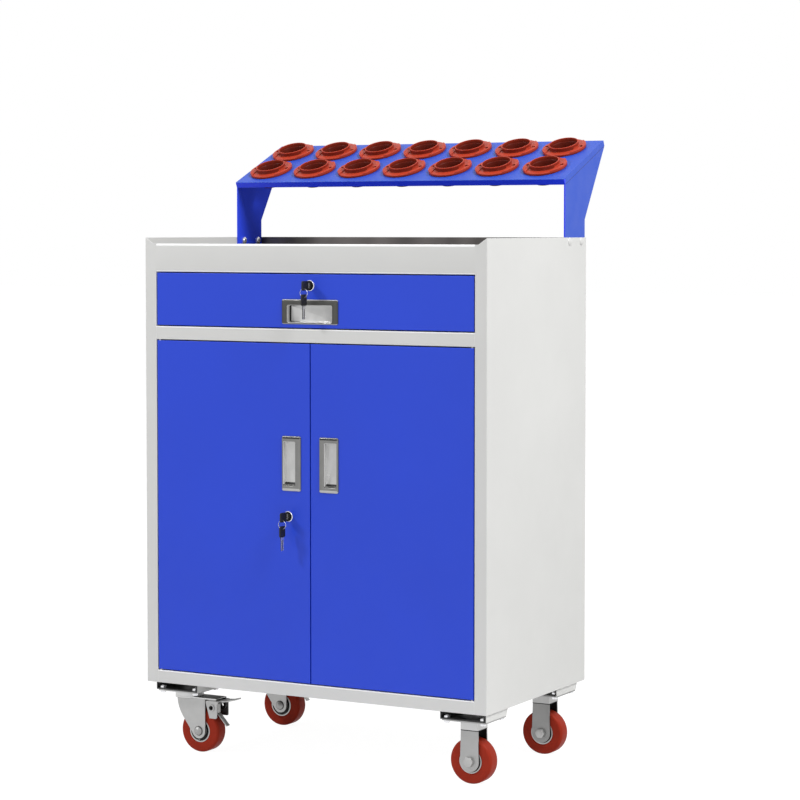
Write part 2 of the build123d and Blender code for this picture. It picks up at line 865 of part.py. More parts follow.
def rack_fasteners():
    """Bolts with domed heads outside the walls, and their nuts inside."""
    pieces = []
    inner = inside_half - rack_sheet
    nut_start = inner - rack_nut_height
    shank_start = nut_start - rack_bolt_tail
    bore = rack_bolt_radius + pin_clearance
    for side in (-1, 1):
        for y, z in rack_bolt_places():
            shank = rod((shank_start, y, z), (1, 0, 0), rack_bolt_radius, half_width - shank_start)
            plane = Plane(origin=(half_width, y, z), z_dir=(1, 0, 0))
            bolt = shank + plane * domed_head(rack_bolt_head_radius, rack_bolt_head)
            nut = hexagon((nut_start, y, z), (1, 0, 0), rack_nut_flats, rack_nut_height)
            nut -= rod((nut_start - 1, y, z), (1, 0, 0), bore, rack_nut_height + 2)
            pieces += [mirrored(bolt, side), mirrored(nut, side)]
    return group(pieces)


def tool_cup(x, y):
    """One cup on the rack's face: sloped flange, two screw ears, collar, tapered sleeve."""
    edge = cup_flange_edge
    cup = rod((x, y, 0), (0, 0, 1), cup_flange_radius, edge)
    root = cup_collar_radius + cup_collar_root
    cup += cone((x, y, edge), (0, 0, 1), cup_flange_radius, root, cup_flange - edge)
    ears = rod((x, y, 0), (0, 0, 1), cup_flange_radius, cup_flange)
    gap = (x - cup_ear_half_gap, x + cup_ear_half_gap)
    around = (y - cup_flange_radius - 1, y + cup_flange_radius + 1)
    cup += ears - block(gap, around, (-1, cup_flange + 1))
    top = cup_flange + cup_collar
    cup += rod((x, y, 0), (0, 0, 1), cup_collar_radius, top)
    cup = chamfer(cup.faces().sort_by(Axis.Z)[-1].edges(), cup_rim_bevel)
    cup += rod((x, y, -cup_sleeve), (0, 0, 1), cup_sleeve_radius, cup_sleeve)
    mouth = (x, y, top - cup_mouth_depth)
    cup -= rod(mouth, (0, 0, 1), cup_mouth_radius, cup_mouth_depth + 1)
    taper_length = top - cup_mouth_depth + cup_sleeve
    last_radius = cup_taper_radius - taper_length * cup_taper / 2
    cup -= cone(mouth, (0, 0, -1), cup_taper_radius, last_radius, taper_length)
    for side in (-1, 1):
        screw_x = x + side * cup_screw_circle
        cup -= rod((screw_x, y, -1), (0, 0, 1), cup_screw_radius + pin_clearance, cup_flange + 2)
        head_radius = cup_screw_head_radius + pin_clearance
        depth = cup_screw_head + cup_screw_sunk
        cup -= rod((screw_x, y, cup_flange - depth), (0, 0, 1), head_radius, depth + 1)
    return cup


def tool_cups(row):
    """The seven cups of one row."""
    plane = rack_plane()
    return group([plane * tool_cup(x, y) for x, y in cup_places()[row]])


def cup_screws():
    """Two screws in each cup, their heads sunk in the ears."""
    plane = rack_plane()
    seat = cup_flange - cup_screw_head - cup_screw_sunk
    screws = []
    for x, y in cup_places()[0] + cup_places()[1]:
        for side in (-1, 1):
            start = (x + side * cup_screw_circle, y, seat)
            shank = rod(start, (0, 0, -1), cup_screw_radius, cup_screw_length)
            head = rod(start, (0, 0, 1), cup_screw_head_radius, cup_screw_head)
            screws.append(plane * (shank + head))
    return group(screws)


def caster_places():
    """Middle of each caster plate: name, x, y and whether it swivels."""
    fixed_x = half_width - fixed_caster_inset - channel_width / 2
    swivel_x = -half_width + swivel_caster_inset + channel_width / 2
    places = []
    for row, y in (("front", front_caster_y), ("rear", rear_caster_y)):
        places.append((row + "_left", swivel_x, y, True))
        places.append((row + "_right", fixed_x, y, False))
    return places


def bolt_places(x, y):
    """The four bolts of one caster plate."""
    half_x = caster_bolt_spacing_x / 2
    half_y = caster_bolt_spacing_y / 2
    return [(x + i * half_x, y + j * half_y) for i in (-1, 1) for j in (-1, 1)]


def bolt_holes(x, y, low, high):
    """Holes for the four bolts through a plate."""
    radius = caster_bolt_radius + bolt_hole_clearance
    holes = [rod((u, v, low - 1), (0, 0, 1), radius, high - low + 2) for u, v in bolt_places(x, y)]
    return group(holes)


def caster_channels():
    """Shallow channels under the base, open to the front and the rear."""
    channels = []
    for name, x, y, swivels in caster_places():
        across = (x - channel_width / 2, x + channel_width / 2)
        along = (y - channel_depth / 2, y + channel_depth / 2)
        channel = block(across, along, (caster_top, caster_top + channel_sheet))
        for edge in (across[0], across[1] - channel_sheet):
            channel += block((edge, edge + channel_sheet), along, (caster_top, body_bottom))
        cut = [
            (along[1] + 1, body_bottom - channel_height),
            (along[1] + 1, body_bottom + 1),
            (along[1], body_bottom),
            (along[1] - channel_end_cut, caster_top - 1),
            (along[1] + 1, caster_top - 1),
        ]
        channel -= prism_yz(cut, across[0] - 1, across[1] + 1)
        channel -= bolt_holes(x, y, caster_top, caster_top + channel_sheet)
        channels.append(channel)
    return group(channels)


def caster_fasteners():
    """Hexagon bolts up through the caster plates, with nuts inside the channels."""
    pieces = []
    nut_low = caster_top + channel_sheet
    for name, x, y, swivels in caster_places():
        for u, v in bolt_places(x, y):
            head_low = plate_bottom - caster_bolt_head
            bolt = hexagon((u, v, head_low), (0, 0, 1), caster_bolt_flats, caster_bolt_head)
            tail = nut_low + caster_nut + caster_bolt_tail
            bolt += rod((u, v, plate_bottom), (0, 0, 1), caster_bolt_radius, tail - plate_bottom)
            nut = hexagon((u, v, nut_low), (0, 0, 1), caster_bolt_flats, caster_nut)
            bore = caster_bolt_radius + pin_clearance
            nut -= rod((u, v, nut_low - 1), (0, 0, 1), bore, caster_nut + 2)
            pieces += [bolt, nut]
    return group(pieces)


def caster_plate_blank(x, y):
    """Bolted top plate of a caster."""
    across = (x - caster_plate_width / 2, x + caster_plate_width / 2)
    along = (y - caster_plate_depth / 2, y + caster_plate_depth / 2)
    plate = block(across, along, (plate_bottom, caster_top))
    plate = fillet(plate.edges().filter_by(Axis.Z), caster_plate_corner)
    return plate - bolt_holes(x, y, plate_bottom, caster_top)


def axle_bore(x, y, z, clearance):
    """Hole through both cheeks of a fork for the axle bolt."""
    start = (x, y - fork_outside - 1, z)
    return rod(start, (0, 1, 0), axle_radius + clearance, 2 * fork_outside + 2)


def fixed_bracket(x, y):
    """Rigid fork: two cheeks that widen to the axle, under a closed block on the plate."""
    half = fixed_fork_width / 2
    bracket = caster_plate_blank(x, y)
    outline = [
        (x - fixed_lug_radius, wheel_radius),
        (x + fixed_lug_radius, wheel_radius),
        (x + half, plate_bottom),
        (x - half, plate_bottom),
    ]
    for side in (-1, 1):
        cheek_y = sorted((y + side * fork_half, y + side * fork_outside))
        bracket += prism_xz(outline, cheek_y[0], cheek_y[1])
        bracket += rod((x, cheek_y[0], wheel_radius), (0, 1, 0), fixed_lug_radius, fork_sheet)
    low = plate_bottom - fixed_block_height
    wide = half + fixed_block_proud
    deep = fork_outside + fixed_block_proud
    housing = block((x - wide, x + wide), (y - deep, y + deep), (low, plate_bottom))
    inner = (y - fork_half, y + fork_half)
    inner_x = (x - half + fork_sheet, x + half - fork_sheet)
    housing -= block(inner_x, inner, (low - 1, plate_bottom - fixed_block_roof))
    bracket += housing
    return bracket - axle_bore(x, y, wheel_radius, pin_clearance)


def swivel_plate(x, y):
    """Top plate with the ball race housing and the king pin that holds the fork."""
    plate = caster_plate_blank(x, y)
    housing_low = crown_top + running_gap
    plate += rod((x, y, housing_low), (0, 0, 1), race_radius, plate_bottom - housing_low)
    pin_low = crown_bottom - running_gap
    plate += rod((x, y, pin_low), (0, 0, 1), king_pin_radius, plate_bottom - pin_low)
    return plate + rod((x, y, pin_low), (0, 0, -1), king_pin_head_radius, king_pin_head)


def swivel_cheek(axle_x, y_span, pivot_x):
    """Cheek of a swivel fork: upright at the axle side, curved in under the pivot."""
    lug = swivel_lug_radius
    top_left = pivot_x - swivel_fork_front
    right = axle_x + lug
    left_low = (axle_x - cheek_foot_x, wheel_radius - cheek_foot_z)
    outline = [
        Line((right, 0, wheel_radius), (right, 0, crown_top)),
        Line((right, 0, crown_top), (top_left, 0, crown_top)),
        Spline(
            (top_left, 0, crown_top),
            (top_left + cheek_waist_x, 0, crown_top - cheek_waist_drop),
            (left_low[0], 0, left_low[1]),
            tangents=[(0, 0, -1), (0.5, 0, -0.86)],
        ),
        ThreePointArc(
            (left_low[0], 0, left_low[1]),
            (axle_x, 0, wheel_radius - lug),
            (right, 0, wheel_radius),
        ),
    ]
    face = make_face(Wire(outline))
    cheek = extrude(face, amount=y_span[1] - y_span[0], dir=(0, 1, 0))
    return Pos(0, y_span[0], 0) * cheek


def brake_pivot(x):
    """The brake lever's pivot, from the axle of its caster."""
    return x + swivel_trail + brake_pivot_x, brake_pivot_z + wheel_radius


def brake_rivet_holes(x, y, z):
    """Bore for the brake lever's rivets, through ears and cheeks."""
    radius = brake_rivet_radius + pin_clearance
    return rod((x, y - fork_inside, z), (0, 1, 0), radius, 2 * fork_inside)


def swivel_fork(x, y):
    """Swivelling fork: crown, two cheeks and two ears for the brake lever."""
    axle_x = x + swivel_trail
    right = axle_x + swivel_lug_radius
    left = x - swivel_fork_front
    crown = block((left, right), (y - fork_outside, y + fork_outside), (crown_bottom, crown_top))
    crown += rod((x, y, crown_bottom), (0, 0, 1), race_radius, fork_sheet)
    for side in (-1, 1):
        cheek_y = sorted((y + side * fork_half, y + side * fork_outside))
        crown += swivel_cheek(axle_x, cheek_y, x)
    pivot_x, pivot_z = brake_pivot(x)
    ear_x = (pivot_x - brake_ear_half_width, pivot_x + brake_ear_half_width)
    across = (y - fork_outside, y + fork_outside)
    crown += block((right - 1, ear_x[1]), across, (crown_bottom, crown_top))
    for side in (-1, 1):
        ear_y = sorted((y + side * fork_half, y + side * fork_outside))
        crown += block(ear_x, ear_y, (pivot_z, crown_bottom))
        crown += rod((pivot_x, ear_y[0], pivot_z), (0, 1, 0), brake_ear_half_width, fork_sheet)
    pin_bore = king_pin_radius + pin_clearance
    crown -= rod((x, y, crown_bottom - 1), (0, 0, 1), pin_bore, fork_sheet + 2)
    crown -= axle_bore(axle_x, y, wheel_radius, pin_clearance)
    return crown - brake_rivet_holes(pivot_x, y, pivot_z)


def brake_rivet(x, y, side):
    """Tubular rivet through one ear of the fork and one cheek of the lever."""
    pivot_x, pivot_z = brake_pivot(x)
    cheek_out = fork_outside + brake_cheek_clearance + brake_sheet
    inner = fork_half - brake_rivet_head
    outer = cheek_out + running_gap + brake_rivet_head
    start = (pivot_x, y + side * inner, pivot_z)
    away = (0, side, 0)
    rivet = rod(start, away, brake_rivet_radius, outer - inner)
    rivet += rod(start, away, brake_rivet_head_radius, brake_rivet_head)
    head = (pivot_x, y + side * (outer - brake_rivet_head), pivot_z)
    rivet += rod(head, away, brake_rivet_head_radius, brake_rivet_head)
    return rivet - rod(start, away, brake_rivet_bore, outer - inner)


def swivel_bolts(x, y):
    """Axle bolt with a domed head and nut, and the brake lever's two rivets."""
    axle_x = x + swivel_trail
    start = (axle_x, y - fork_outside, wheel_radius)
    end = (axle_x, y + fork_outside, wheel_radius)
    shank = rod(start, (0, 1, 0), axle_radius, 2 * fork_outside)
    head = Plane(origin=start, z_dir=(0, -1, 0)) * domed_head(axle_dome_radius, axle_head)
    nut = hexagon(end, (0, 1, 0), axle_head_flats, axle_head)
    return group([shank + head + nut, brake_rivet(x, y, -1), brake_rivet(x, y, 1)])


def brake_lever(x, y):
    """Brake lever: two cheeks, a web, a foot pedal and a tongue that meets the tyre."""
    px, pz = brake_pivot(x)
    top = pz + brake_cheek_top
    right = px + brake_cheek_right
    left = px - brake_cheek_left
    low = pz - brake_cheek_bottom
    toe = brake_cheek_toe
    profile = [
        (left, top),
        (right, top),
        (right, low + toe),
        (right - toe, low),
        (right - brake_cheek_foot, low),
    ]
    inner = fork_outside + brake_cheek_clearance
    half = inner + brake_sheet
    lever = block((right, right + brake_sheet), (y - half, y + half), (top - brake_web_height, top))
    for side in (-1, 1):
        span = sorted((y + side * inner, y + side * half))
        cheek = prism_xz(profile, span[0], span[1])
        cheek = fillet(edges_near(cheek, Axis.Y, X=left, Z=top), brake_cheek_corner)
        lever += cheek - brake_rivet_holes(px, y, pz)
    pedal_half = brake_pedal_width / 2
    rise = [
        (right, top),
        (right + brake_pedal_length / 2, top + brake_pedal_bend),
        (right + brake_pedal_length, top + brake_pedal_rise),
    ]
    pedal = prism_xz(bent_strip(rise, brake_sheet), y - pedal_half, y + pedal_half)
    tip_x = right + brake_pedal_length
    corners = block((px, tip_x), (y - pedal_half, y + pedal_half), (pz, top + 2 * brake_pedal_rise))
    for corner_y in (y - pedal_half, y + pedal_half):
        corners = fillet(edges_near(corners, Axis.Z, X=tip_x, Y=corner_y), brake_pedal_corner)
    lever += pedal & corners
    drop = [
        (right + brake_tongue_reach, pz - brake_tongue_drop),
        (px + brake_tongue_x, pz - brake_tongue_bend),
        (px + brake_tongue_x, top),
        (right, top),
    ]
    tongue_half = brake_tongue_width / 2
    lever += prism_xz(bent_strip(drop, brake_sheet), y - tongue_half, y + tongue_half)
    return lever


def fixed_axles():
    """Axle bolts of the rigid casters, with hexagon heads and nuts."""
    bolts = []
    for name, x, y, swivels in caster_places():
        if swivels:
            continue
        start = (x, y - fork_outside, wheel_radius)
        bolt = rod(start, (0, 1, 0), axle_radius, 2 * fork_outside)
        bolt += hexagon(start, (0, -1, 0), axle_head_flats, axle_head)
        end = (x, y + fork_outside, wheel_radius)
        bolt += hexagon(end, (0, 1, 0), axle_head_flats, axle_head)
        bolts.append(bolt)
    return group(bolts)


def tyre(x, y):
    """Tyre with rounded shoulders."""
    start = (x, y - tyre_width / 2, wheel_radius)
    ring = rod(start, (0, 1, 0), wheel_radius, tyre_width)
    rims = ring.edges().filter_by(GeomType.CIRCLE)
    ring = fillet(rims, tyre_round)
    return ring - rod((x, y - tyre_width, wheel_radius), (0, 1, 0), hub_radius, 2 * tyre_width)


def hub(x, y):
    """Wheel hub: a rim, a web between two dishes, and a core that turns on the axle."""
    start = (x, y - tyre_width / 2, wheel_radius)
    body = rod(start, (0, 1, 0), hub_radius, tyre_width)
    for side in (-1, 1):
        face = y + side * tyre_width / 2
        outside = (x, face + side, wheel_radius)
        dish = rod(outside, (0, -side, 0), hub_radius - hub_rim_wall, hub_dish + 1)
        body -= dish - rod(outside, (0, -side, 0), hub_core_radius, hub_dish + 1)
    core_start = (x, y - hub_width / 2, wheel_radius)
    body += rod(core_start, (0, 1, 0), hub_core_radius, hub_width)
    bore = axle_radius + pin_clearance
    return body - rod((x, y - tyre_width, wheel_radius), (0, 1, 0), bore, 2 * tyre_width)


def lock_nodes(name, place, cam_length, cam_direction):
    """The five pieces of one lock and its keys."""
    key, hole = key_in_lock(place)
    return {
        name + "_lock_barrel": lock_barrel(place),
        name + "_lock_plug": lock_plug(place, cam_length, cam_direction),
        name + "_key": key,
        name + "_key_ring": key_ring(hole),
        name + "_spare_key": spare_key(hole),
    }


def caster_nodes():
    """Forks, wheels, plates and levers of the four casters."""
    nodes = {}
    for name, x, y, swivels in caster_places():
        wheel_x = x + swivel_trail if swivels else x
        nodes[name + "_tyre"] = tyre(wheel_x, y)
        nodes[name + "_hub"] = hub(wheel_x, y)
        if swivels:
            nodes[name + "_swivel_plate"] = swivel_plate(x, y)
            nodes[name + "_fork"] = swivel_fork(x, y)
            nodes[name + "_fork_bolts"] = swivel_bolts(x, y)
            nodes[name + "_brake_lever"] = brake_lever(x, y)
        else:
            nodes[name + "_bracket"] = fixed_bracket(x, y)
    return nodes


def all_nodes():
    """Every node of the cabinet, by name."""
    nodes = {
        "left_side_panel": side_panel(-1) - rack_bolt_holes(-1),
        "right_side_panel": side_panel(1) - rack_bolt_holes(1),
        "base_panel": base_panel(),
        "back_panel": back_panel(),
        "middle_rail": middle_rail(),
        "top_rail": top_rail(),
        "top_tray": top_tray(),
        "shelf": shelf(),
        "shelf_clips": shelf_clips(),
        "door_magnets": door_magnets(),
        "hinge_pins": hinge_pins(),
        "left_door": door(-1),
        "right_door": door(1),
        "left_door_grip": door_grip_place(-1) * door_grip()[0],
        "right_door_grip": door_grip_place(1) * door_grip()[0],
        "drawer_front": drawer_front(),
        "drawer_box": drawer_box(),
        "drawer_grip": drawer_grip_place() * drawer_grip()[0],
        "drawer_slides": drawer_slides(),
        "cabinet_runners": cabinet_runners(),
        "rack_plate": rack_plate(),
        "left_rack_arm": rack_arm(-1),
        "right_rack_arm": rack_arm(1),
        "rack_fasteners": rack_fasteners(),
        "front_tool_cups": tool_cups(0),
        "rear_tool_cups": tool_cups(1),
        "cup_screws": cup_screws(),
        "caster_channels": caster_channels(),
        "caster_fasteners": caster_fasteners(),
        "fixed_axles": fixed_axles(),
    }
    nodes |= lock_nodes("drawer", drawer_lock_place(), drawer_cam_length, "right")
    nodes |= lock_nodes("door", door_lock_place(), door_cam_length, "down")
    nodes |= caster_nodes()
    return nodes


def depth_limits():
    """Front and rear of the whole cabinet: the keys in front, the rack behind."""
    ring_y = key_in_lock(drawer_lock_place())[1][1]
    front = ring_y - bow_width / 2
    angle = radians(rack_slope)
    rear = rack_front + rack_length * cos(angle) + rack_lip * sin(angle)
    return front, rear


def main():
    """Write one STEP file for each node, with the origin at the middle of the footprint."""
    front, rear = depth_limits()
    os.makedirs("parts", exist_ok=True)
    for name, shape in all_nodes().items():
        export_step(Pos(0, -(front + rear) / 2, 0) * shape, f"parts/{name}.step")


main()
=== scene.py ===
"""Sheet steel tool cabinet on casters with a rack of tool cups, dressed for rendering.

Laid out as an add-on. Each operator finishes or builds one group of pieces around the
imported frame. Lengths are metres, X runs right, Y runs back and Z up.
"""

import json
from functools import partial, reduce
from math import atan2, cos, pi, radians, sin, tan, tau

import bmesh
import bpy
from bpy.props import FloatProperty, FloatVectorProperty, PointerProperty
from mathutils import Euler, Matrix, Vector


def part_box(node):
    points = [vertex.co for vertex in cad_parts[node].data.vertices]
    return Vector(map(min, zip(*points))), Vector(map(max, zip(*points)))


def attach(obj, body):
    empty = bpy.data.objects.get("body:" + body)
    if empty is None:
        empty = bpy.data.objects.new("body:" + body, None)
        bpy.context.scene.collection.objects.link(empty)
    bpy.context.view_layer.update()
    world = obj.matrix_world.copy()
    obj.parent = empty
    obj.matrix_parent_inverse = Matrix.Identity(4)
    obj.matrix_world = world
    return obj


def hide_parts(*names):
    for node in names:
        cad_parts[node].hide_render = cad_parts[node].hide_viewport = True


bl_info = {
    "name": "Tool cabinet",
    "version": (1, 0, 0),
    "blender": (4, 5, 0),
    "location": "3D View > Sidebar > Cabinet",
    "description": "Dresses the packed tool cabinet with its finishes and fine pieces",
    "category": "Object",
}

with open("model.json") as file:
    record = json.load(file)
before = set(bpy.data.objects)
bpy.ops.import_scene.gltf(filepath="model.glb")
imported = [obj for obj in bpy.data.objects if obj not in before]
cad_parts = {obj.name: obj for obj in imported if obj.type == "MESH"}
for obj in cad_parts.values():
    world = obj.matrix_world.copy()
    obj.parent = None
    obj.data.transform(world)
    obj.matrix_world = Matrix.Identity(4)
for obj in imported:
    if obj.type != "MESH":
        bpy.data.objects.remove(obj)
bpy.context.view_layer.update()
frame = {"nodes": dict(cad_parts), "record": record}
mm = 0.001
upside_down = Matrix.Rotation(pi, 4, "X")
shade_layer = "shade"
noise_range = (0.3, 0.7)
half_fork = 15.6 * mm
half_lever = 18.7 * mm
half_floor = 30.0
aim = Vector((0, 0, 0.6))
lamps = {
    "side_light": {"place": (3.3, -0.8, 4.4), "size": 2.0, "power": 230.0},
    "key_light": {"place": (-2.8, -2.5, 3.2), "size": 0.5, "power": 80.0},
    "front_light": {"place": (-0.8, -5.4, 1.6), "size": 2.8, "power": 14.0},
}


# Settings


def colour(name, description, *default):
    return FloatVectorProperty(
        name=name, description=description, default=default, min=0.0, max=1.0, subtype="COLOR"
    )


def number(name, description, default, **more):
    return FloatProperty(name=name, description=description, default=default, **more)


def length(name, description, default):
    return number(name, description, default * mm, min=0.0, unit="LENGTH")


def bearing(name, description, default):
    return number(name, description, radians(default), subtype="ANGLE")


class CabinetPaint(bpy.types.PropertyGroup):
    """Colours and texture of the painted sheet metal."""

    body: colour("Body", "Light grey of the carcass", 0.66, 0.66, 0.645)
    fronts: colour("Fronts", "Blue of the doors and the drawer", 0.012, 0.055, 0.62)
    rack: colour("Rack", "Blue of the rack and its right arm", 0.017, 0.076, 0.52)
    # Painted shade: the rack's front lip is painted a deeper blue than the plate.
    lip: colour("Rack lip", "Front lip of the rack plate", 0.006, 0.036, 0.85)
    seam: colour("Rack seam", "Foot of the rack plate's side lips", 0.004, 0.01, 0.12)
    arm: colour("Left arm", "Blue of the arm that stands in the shade", 0.036, 0.084, 0.94)
    drawer: colour("Drawer box", "Grey inside the drawer", 0.5, 0.5, 0.49)
    roughness: number(
        "Roughness", "Roughness of the powder coat", 0.42, min=0.05, max=1.0, subtype="FACTOR"
    )
    peel: length("Orange peel", "Height of the powder coat's texture", 0.05)
    # The lighter band along a fold is a painted highlight.
    fold: length("Folds", "Width of the lighter paint along a fold", 1.5)


class CabinetMetal(bpy.types.PropertyGroup):
    """Colours of the bare and plated metal, and of the light and shade painted on it."""

    zinc: colour("Zinc", "Plated casters, slides and fasteners", 0.43, 0.43, 0.425)
    chrome: colour("Chrome", "Lock bezels and key rings", 0.78, 0.78, 0.8)
    grip_light: colour("Light grip", "Frames of the door grips", 0.2, 0.2, 0.195)
    grip_dark: colour("Dark grip", "Frame of the drawer grip", 0.075, 0.075, 0.07)
    recess: colour("Recess", "Finger recess of every grip", 0.46, 0.46, 0.455)
    # Painted light: the recesses' side walls are painted lighter than the recess.
    recess_wall: colour("Recess wall", "Side walls of the recesses", 0.7, 0.7, 0.69)
    # On the grips this lighter steel is a painted highlight on the bevels; on the hubs it is
    # the rims' own steel.
    edge: colour("Edge", "Rolled edges of the grips and the hubs", 0.44, 0.44, 0.435)
    tray: colour("Tray", "Dark metal of the top tray", 0.1, 0.092, 0.088)
    # This dark is the colour of the real bearing seals and also painted shade: inside the
    # channels, between the fork cheeks, in rivet bores, in key grooves and in the grips.
    seal: colour("Seal", "Dark bearing seals and channel insides", 0.02, 0.02, 0.02)
    # Painted highlight on the crowns of the swivel forks.
    crown_highlight: colour("Crown", "Crowns of the swivel forks", 0.78, 0.78, 0.77)
    # Painted shade on the crowns' tops behind the king pins.
    shade_behind_pin: colour("Oil", "Oiled steel behind the king pins", 0.03, 0.03, 0.03)
    # Painted shade on the brake levers' inner faces.
    cheek_shade: colour("Cheek", "Inner faces of the brake levers", 0.08, 0.08, 0.079)
    # Painted highlight on the blocks of the rigid forks.
    block: colour("Block", "Blocks over the rigid forks", 0.56, 0.56, 0.555)
    bolt: colour("Axle bolt", "Axle bolts of the swivel forks", 0.34, 0.34, 0.337)
    # Painted shade in a ring round the heads of the axle bolts.
    groove: colour("Groove", "Round the heads of those bolts", 0.12, 0.12, 0.118)
    # Painted light on the race housings under the swivel plates.
    housing_light: colour("Housing", "Race housings of the casters", 0.62, 0.62, 0.615)


class CabinetPlastic(bpy.types.PropertyGroup):
    """Colours of the moulded plastic and rubber."""

    cup: colour("Cup", "Red plastic of the tool cups", 0.425, 0.043, 0.018)
    cup_shade: colour("Cup shade", "Bores and collars' feet", 0.1, 0.008, 0.003)
    tyre: colour("Tyre", "Red tread of the wheels", 0.31, 0.024, 0.009)
    black: colour("Black", "Key bows, lock plugs and catches", 0.012, 0.012, 0.012)


class CabinetCups(bpy.types.PropertyGroup):
    """Sizes of the tool cups."""

    flange_radius: length("Flange radius", "Outer radius of the flange", 41)
    flange: length("Flange height", "Height of the screw ears", 6)
    flange_edge: length("Flange edge", "Height of the flange between the ears", 4.2)
    ear_gap: length("Ear gap", "Half of the width between the two ears", 25)
    collar_radius: length("Collar radius", "Outer radius of the collar", 28)
    collar: length("Collar height", "Height of the collar over the flange", 6.5)
    mouth_radius: length("Mouth radius", "Radius of the mouth", 26)
    mouth_depth: length("Mouth depth", "Depth of the mouth", 7)
    sleeve_radius: length("Sleeve radius", "Outer radius of the sleeve", 24)
    sleeve: length("Sleeve length", "Length of the sleeve under the rack", 26)
    taper_radius: length("Taper radius", "Radius of the 7:24 taper at its mouth", 24)
    screw_circle: length("Screw place", "From the middle to each screw", 34.5)
    screw_head: length("Screw head", "Radius of each screw's head", 3.8)
    screw_depth: length("Screw depth", "Depth of each screw's seat in its ear", 3.4)


class CabinetWheels(bpy.types.PropertyGroup):
    """Sizes of the caster wheels."""

    radius: length("Radius", "Outer radius of the tyre", 40)
    width: length("Width", "Width of the tyre", 28)
    shoulder: length("Shoulder", "Radius of the tyre's shoulders", 5)
    hub_radius: length("Hub radius", "Outer radius of the hub", 21.5)
    hub_width: length("Hub width", "Width of the hub's core", 30.2)
    core_radius: length("Core radius", "Radius of the hub's core", 11)
    bore_radius: length("Bore radius", "Radius of the hub's bore", 6.05)


class CabinetFasteners(bpy.types.PropertyGroup):
    """Sizes of the bolts and nuts."""

    bolt_radius: length("Bolt radius", "Radius of the caster bolts", 3)
    bolt_flats: length("Bolt flats", "Across the flats of the caster bolts", 10)
    bolt_head: length("Bolt head", "Height of the caster bolts' heads", 4)
    bolt_nut: length("Bolt nut", "Height of the caster nuts", 4)
    bolt_tail: length("Bolt tail", "Length of each caster bolt past its nut", 1)
    bolt_across: length("Bolts across", "Spacing of the caster bolts along X", 70)
    bolt_along: length("Bolts along", "Spacing of the caster bolts along Y", 68)
    axle_radius: length("Axle radius", "Radius of the axle bolts", 6)
    axle_flats: length("Axle flats", "Across the flats of the axle bolts", 16)
    axle_head: length("Axle head", "Height of the axle bolts' heads", 6)
    dome_radius: length("Dome radius", "Radius of the rack bolts' heads", 7.5)
    dome: length("Dome height", "Height of the rack bolts' heads", 3)
    rack_flats: length("Rack nut flats", "Across the flats of the rack nuts", 13)
    rack_nut: length("Rack nut", "Height of the rack nuts", 4)
    rack_bolt: length("Rack bolt", "Radius of the rack bolts", 4)
    rack_tail: length("Rack bolt tail", "Length of each rack bolt past its nut", 1.2)
    rack_grip: length("Rack grip", "Wall and arm between a rack bolt's head and nut", 3.2)


class CabinetStage(bpy.types.PropertyGroup):
    """Camera and light."""

    lens: number("Lens", "Focal length", 113.71, min=1.0, unit="CAMERA")
    camera: FloatVectorProperty(
        name="Camera place",
        description="Where the camera stands",
        default=(2.285, -4.043, 0.9588),
        subtype="TRANSLATION",
        unit="LENGTH",
    )
    turn: bearing("Camera turn", "How far the camera is turned to its left", 28.862)
    pitch: bearing("Camera pitch", "How far the camera looks down", 2.791)
    shift: number("Camera shift", "Vertical shift of the view", -0.06)
    sky: number("Sky", "Strength of the even light", 0.3, min=0.0)
    glow: number("Floor glow", "How far the floor shows white", 0.76, min=0.0)
    floor: colour("Floor", "Pale floor", 0.8, 0.8, 0.8)


# Outlines and meshes


def rounded(corners, steps=4):
    """Closed outline of (x, y, radius) corners, each rounded by its radius."""
    points = []
    for index, (x, y, radius) in enumerate(corners):
        here = Vector((x, y))
        if radius <= 0:
            points.append(here)
            continue
        before = (Vector(corners[index - 1][:2]) - here).normalized()
        after = (Vector(corners[(index + 1) % len(corners)][:2]) - here).normalized()
        half = before.angle(after) / 2
        centre = here + (before + after).normalized() * (radius / sin(half))
        start = here + before * (radius / tan(half)) - centre
        end = here + after * (radius / tan(half)) - centre
        first = atan2(start.y, start.x)
        turn = (atan2(end.y, end.x) - first + pi) % tau - pi
        for step in range(steps + 1):
            angle = first + turn * step / steps
            points.append(centre + Vector((cos(angle), sin(angle))) * radius)
    return points


def rounded_box(width, height, radius, centre=(0, 0), steps=4):
    """Closed outline of a rectangle with rounded corners."""
    x, y = centre
    half_x, half_y = width / 2, height / 2
    corners = [(-1, -1), (1, -1), (1, 1), (-1, 1)]
    return rounded([(x + i * half_x, y + j * half_y, radius) for i, j in corners], steps)


def inset(points, distance):
    """The outline moved inwards, for one that runs counterclockwise."""
    least_lean = 0.35
    moved = []
    for index, here in enumerate(points):
        before = (here - points[index - 1]).normalized()
        after = (points[(index + 1) % len(points)] - here).normalized()
        normal = Vector((-before.y - after.y, before.x + after.x))
        if normal.length < 1e-9:
            moved.append(here.copy())
            continue
        normal.normalize()
        lean = max(least_lean, normal.dot(Vector((-before.y, before.x))))
        moved.append(here + normal * (distance / lean))
    return moved


def loft(loops, closed=False):
    """Skin over loops of 3-D points, capped at both ends unless it closes on itself.

    Returns the mesh in edit form and the list of its bands of faces.
    """
    bm = bmesh.new()
    rings = [[bm.verts.new(point) for point in loop] for loop in loops]
    count = len(rings[0])
    bands = []
    pairs = list(zip(rings, rings[1:])) + ([(rings[-1], rings[0])] if closed else [])
    for low, high in pairs:
        band = []
        for i in range(count):
            j = (i + 1) % count
            band.append(bm.faces.new((low[i], low[j], high[j], high[i])))
        bands.append(band)
    if not closed:
        bands.append([bm.faces.new(rings[0]), bm.faces.new(rings[-1])])
    return bm, bands


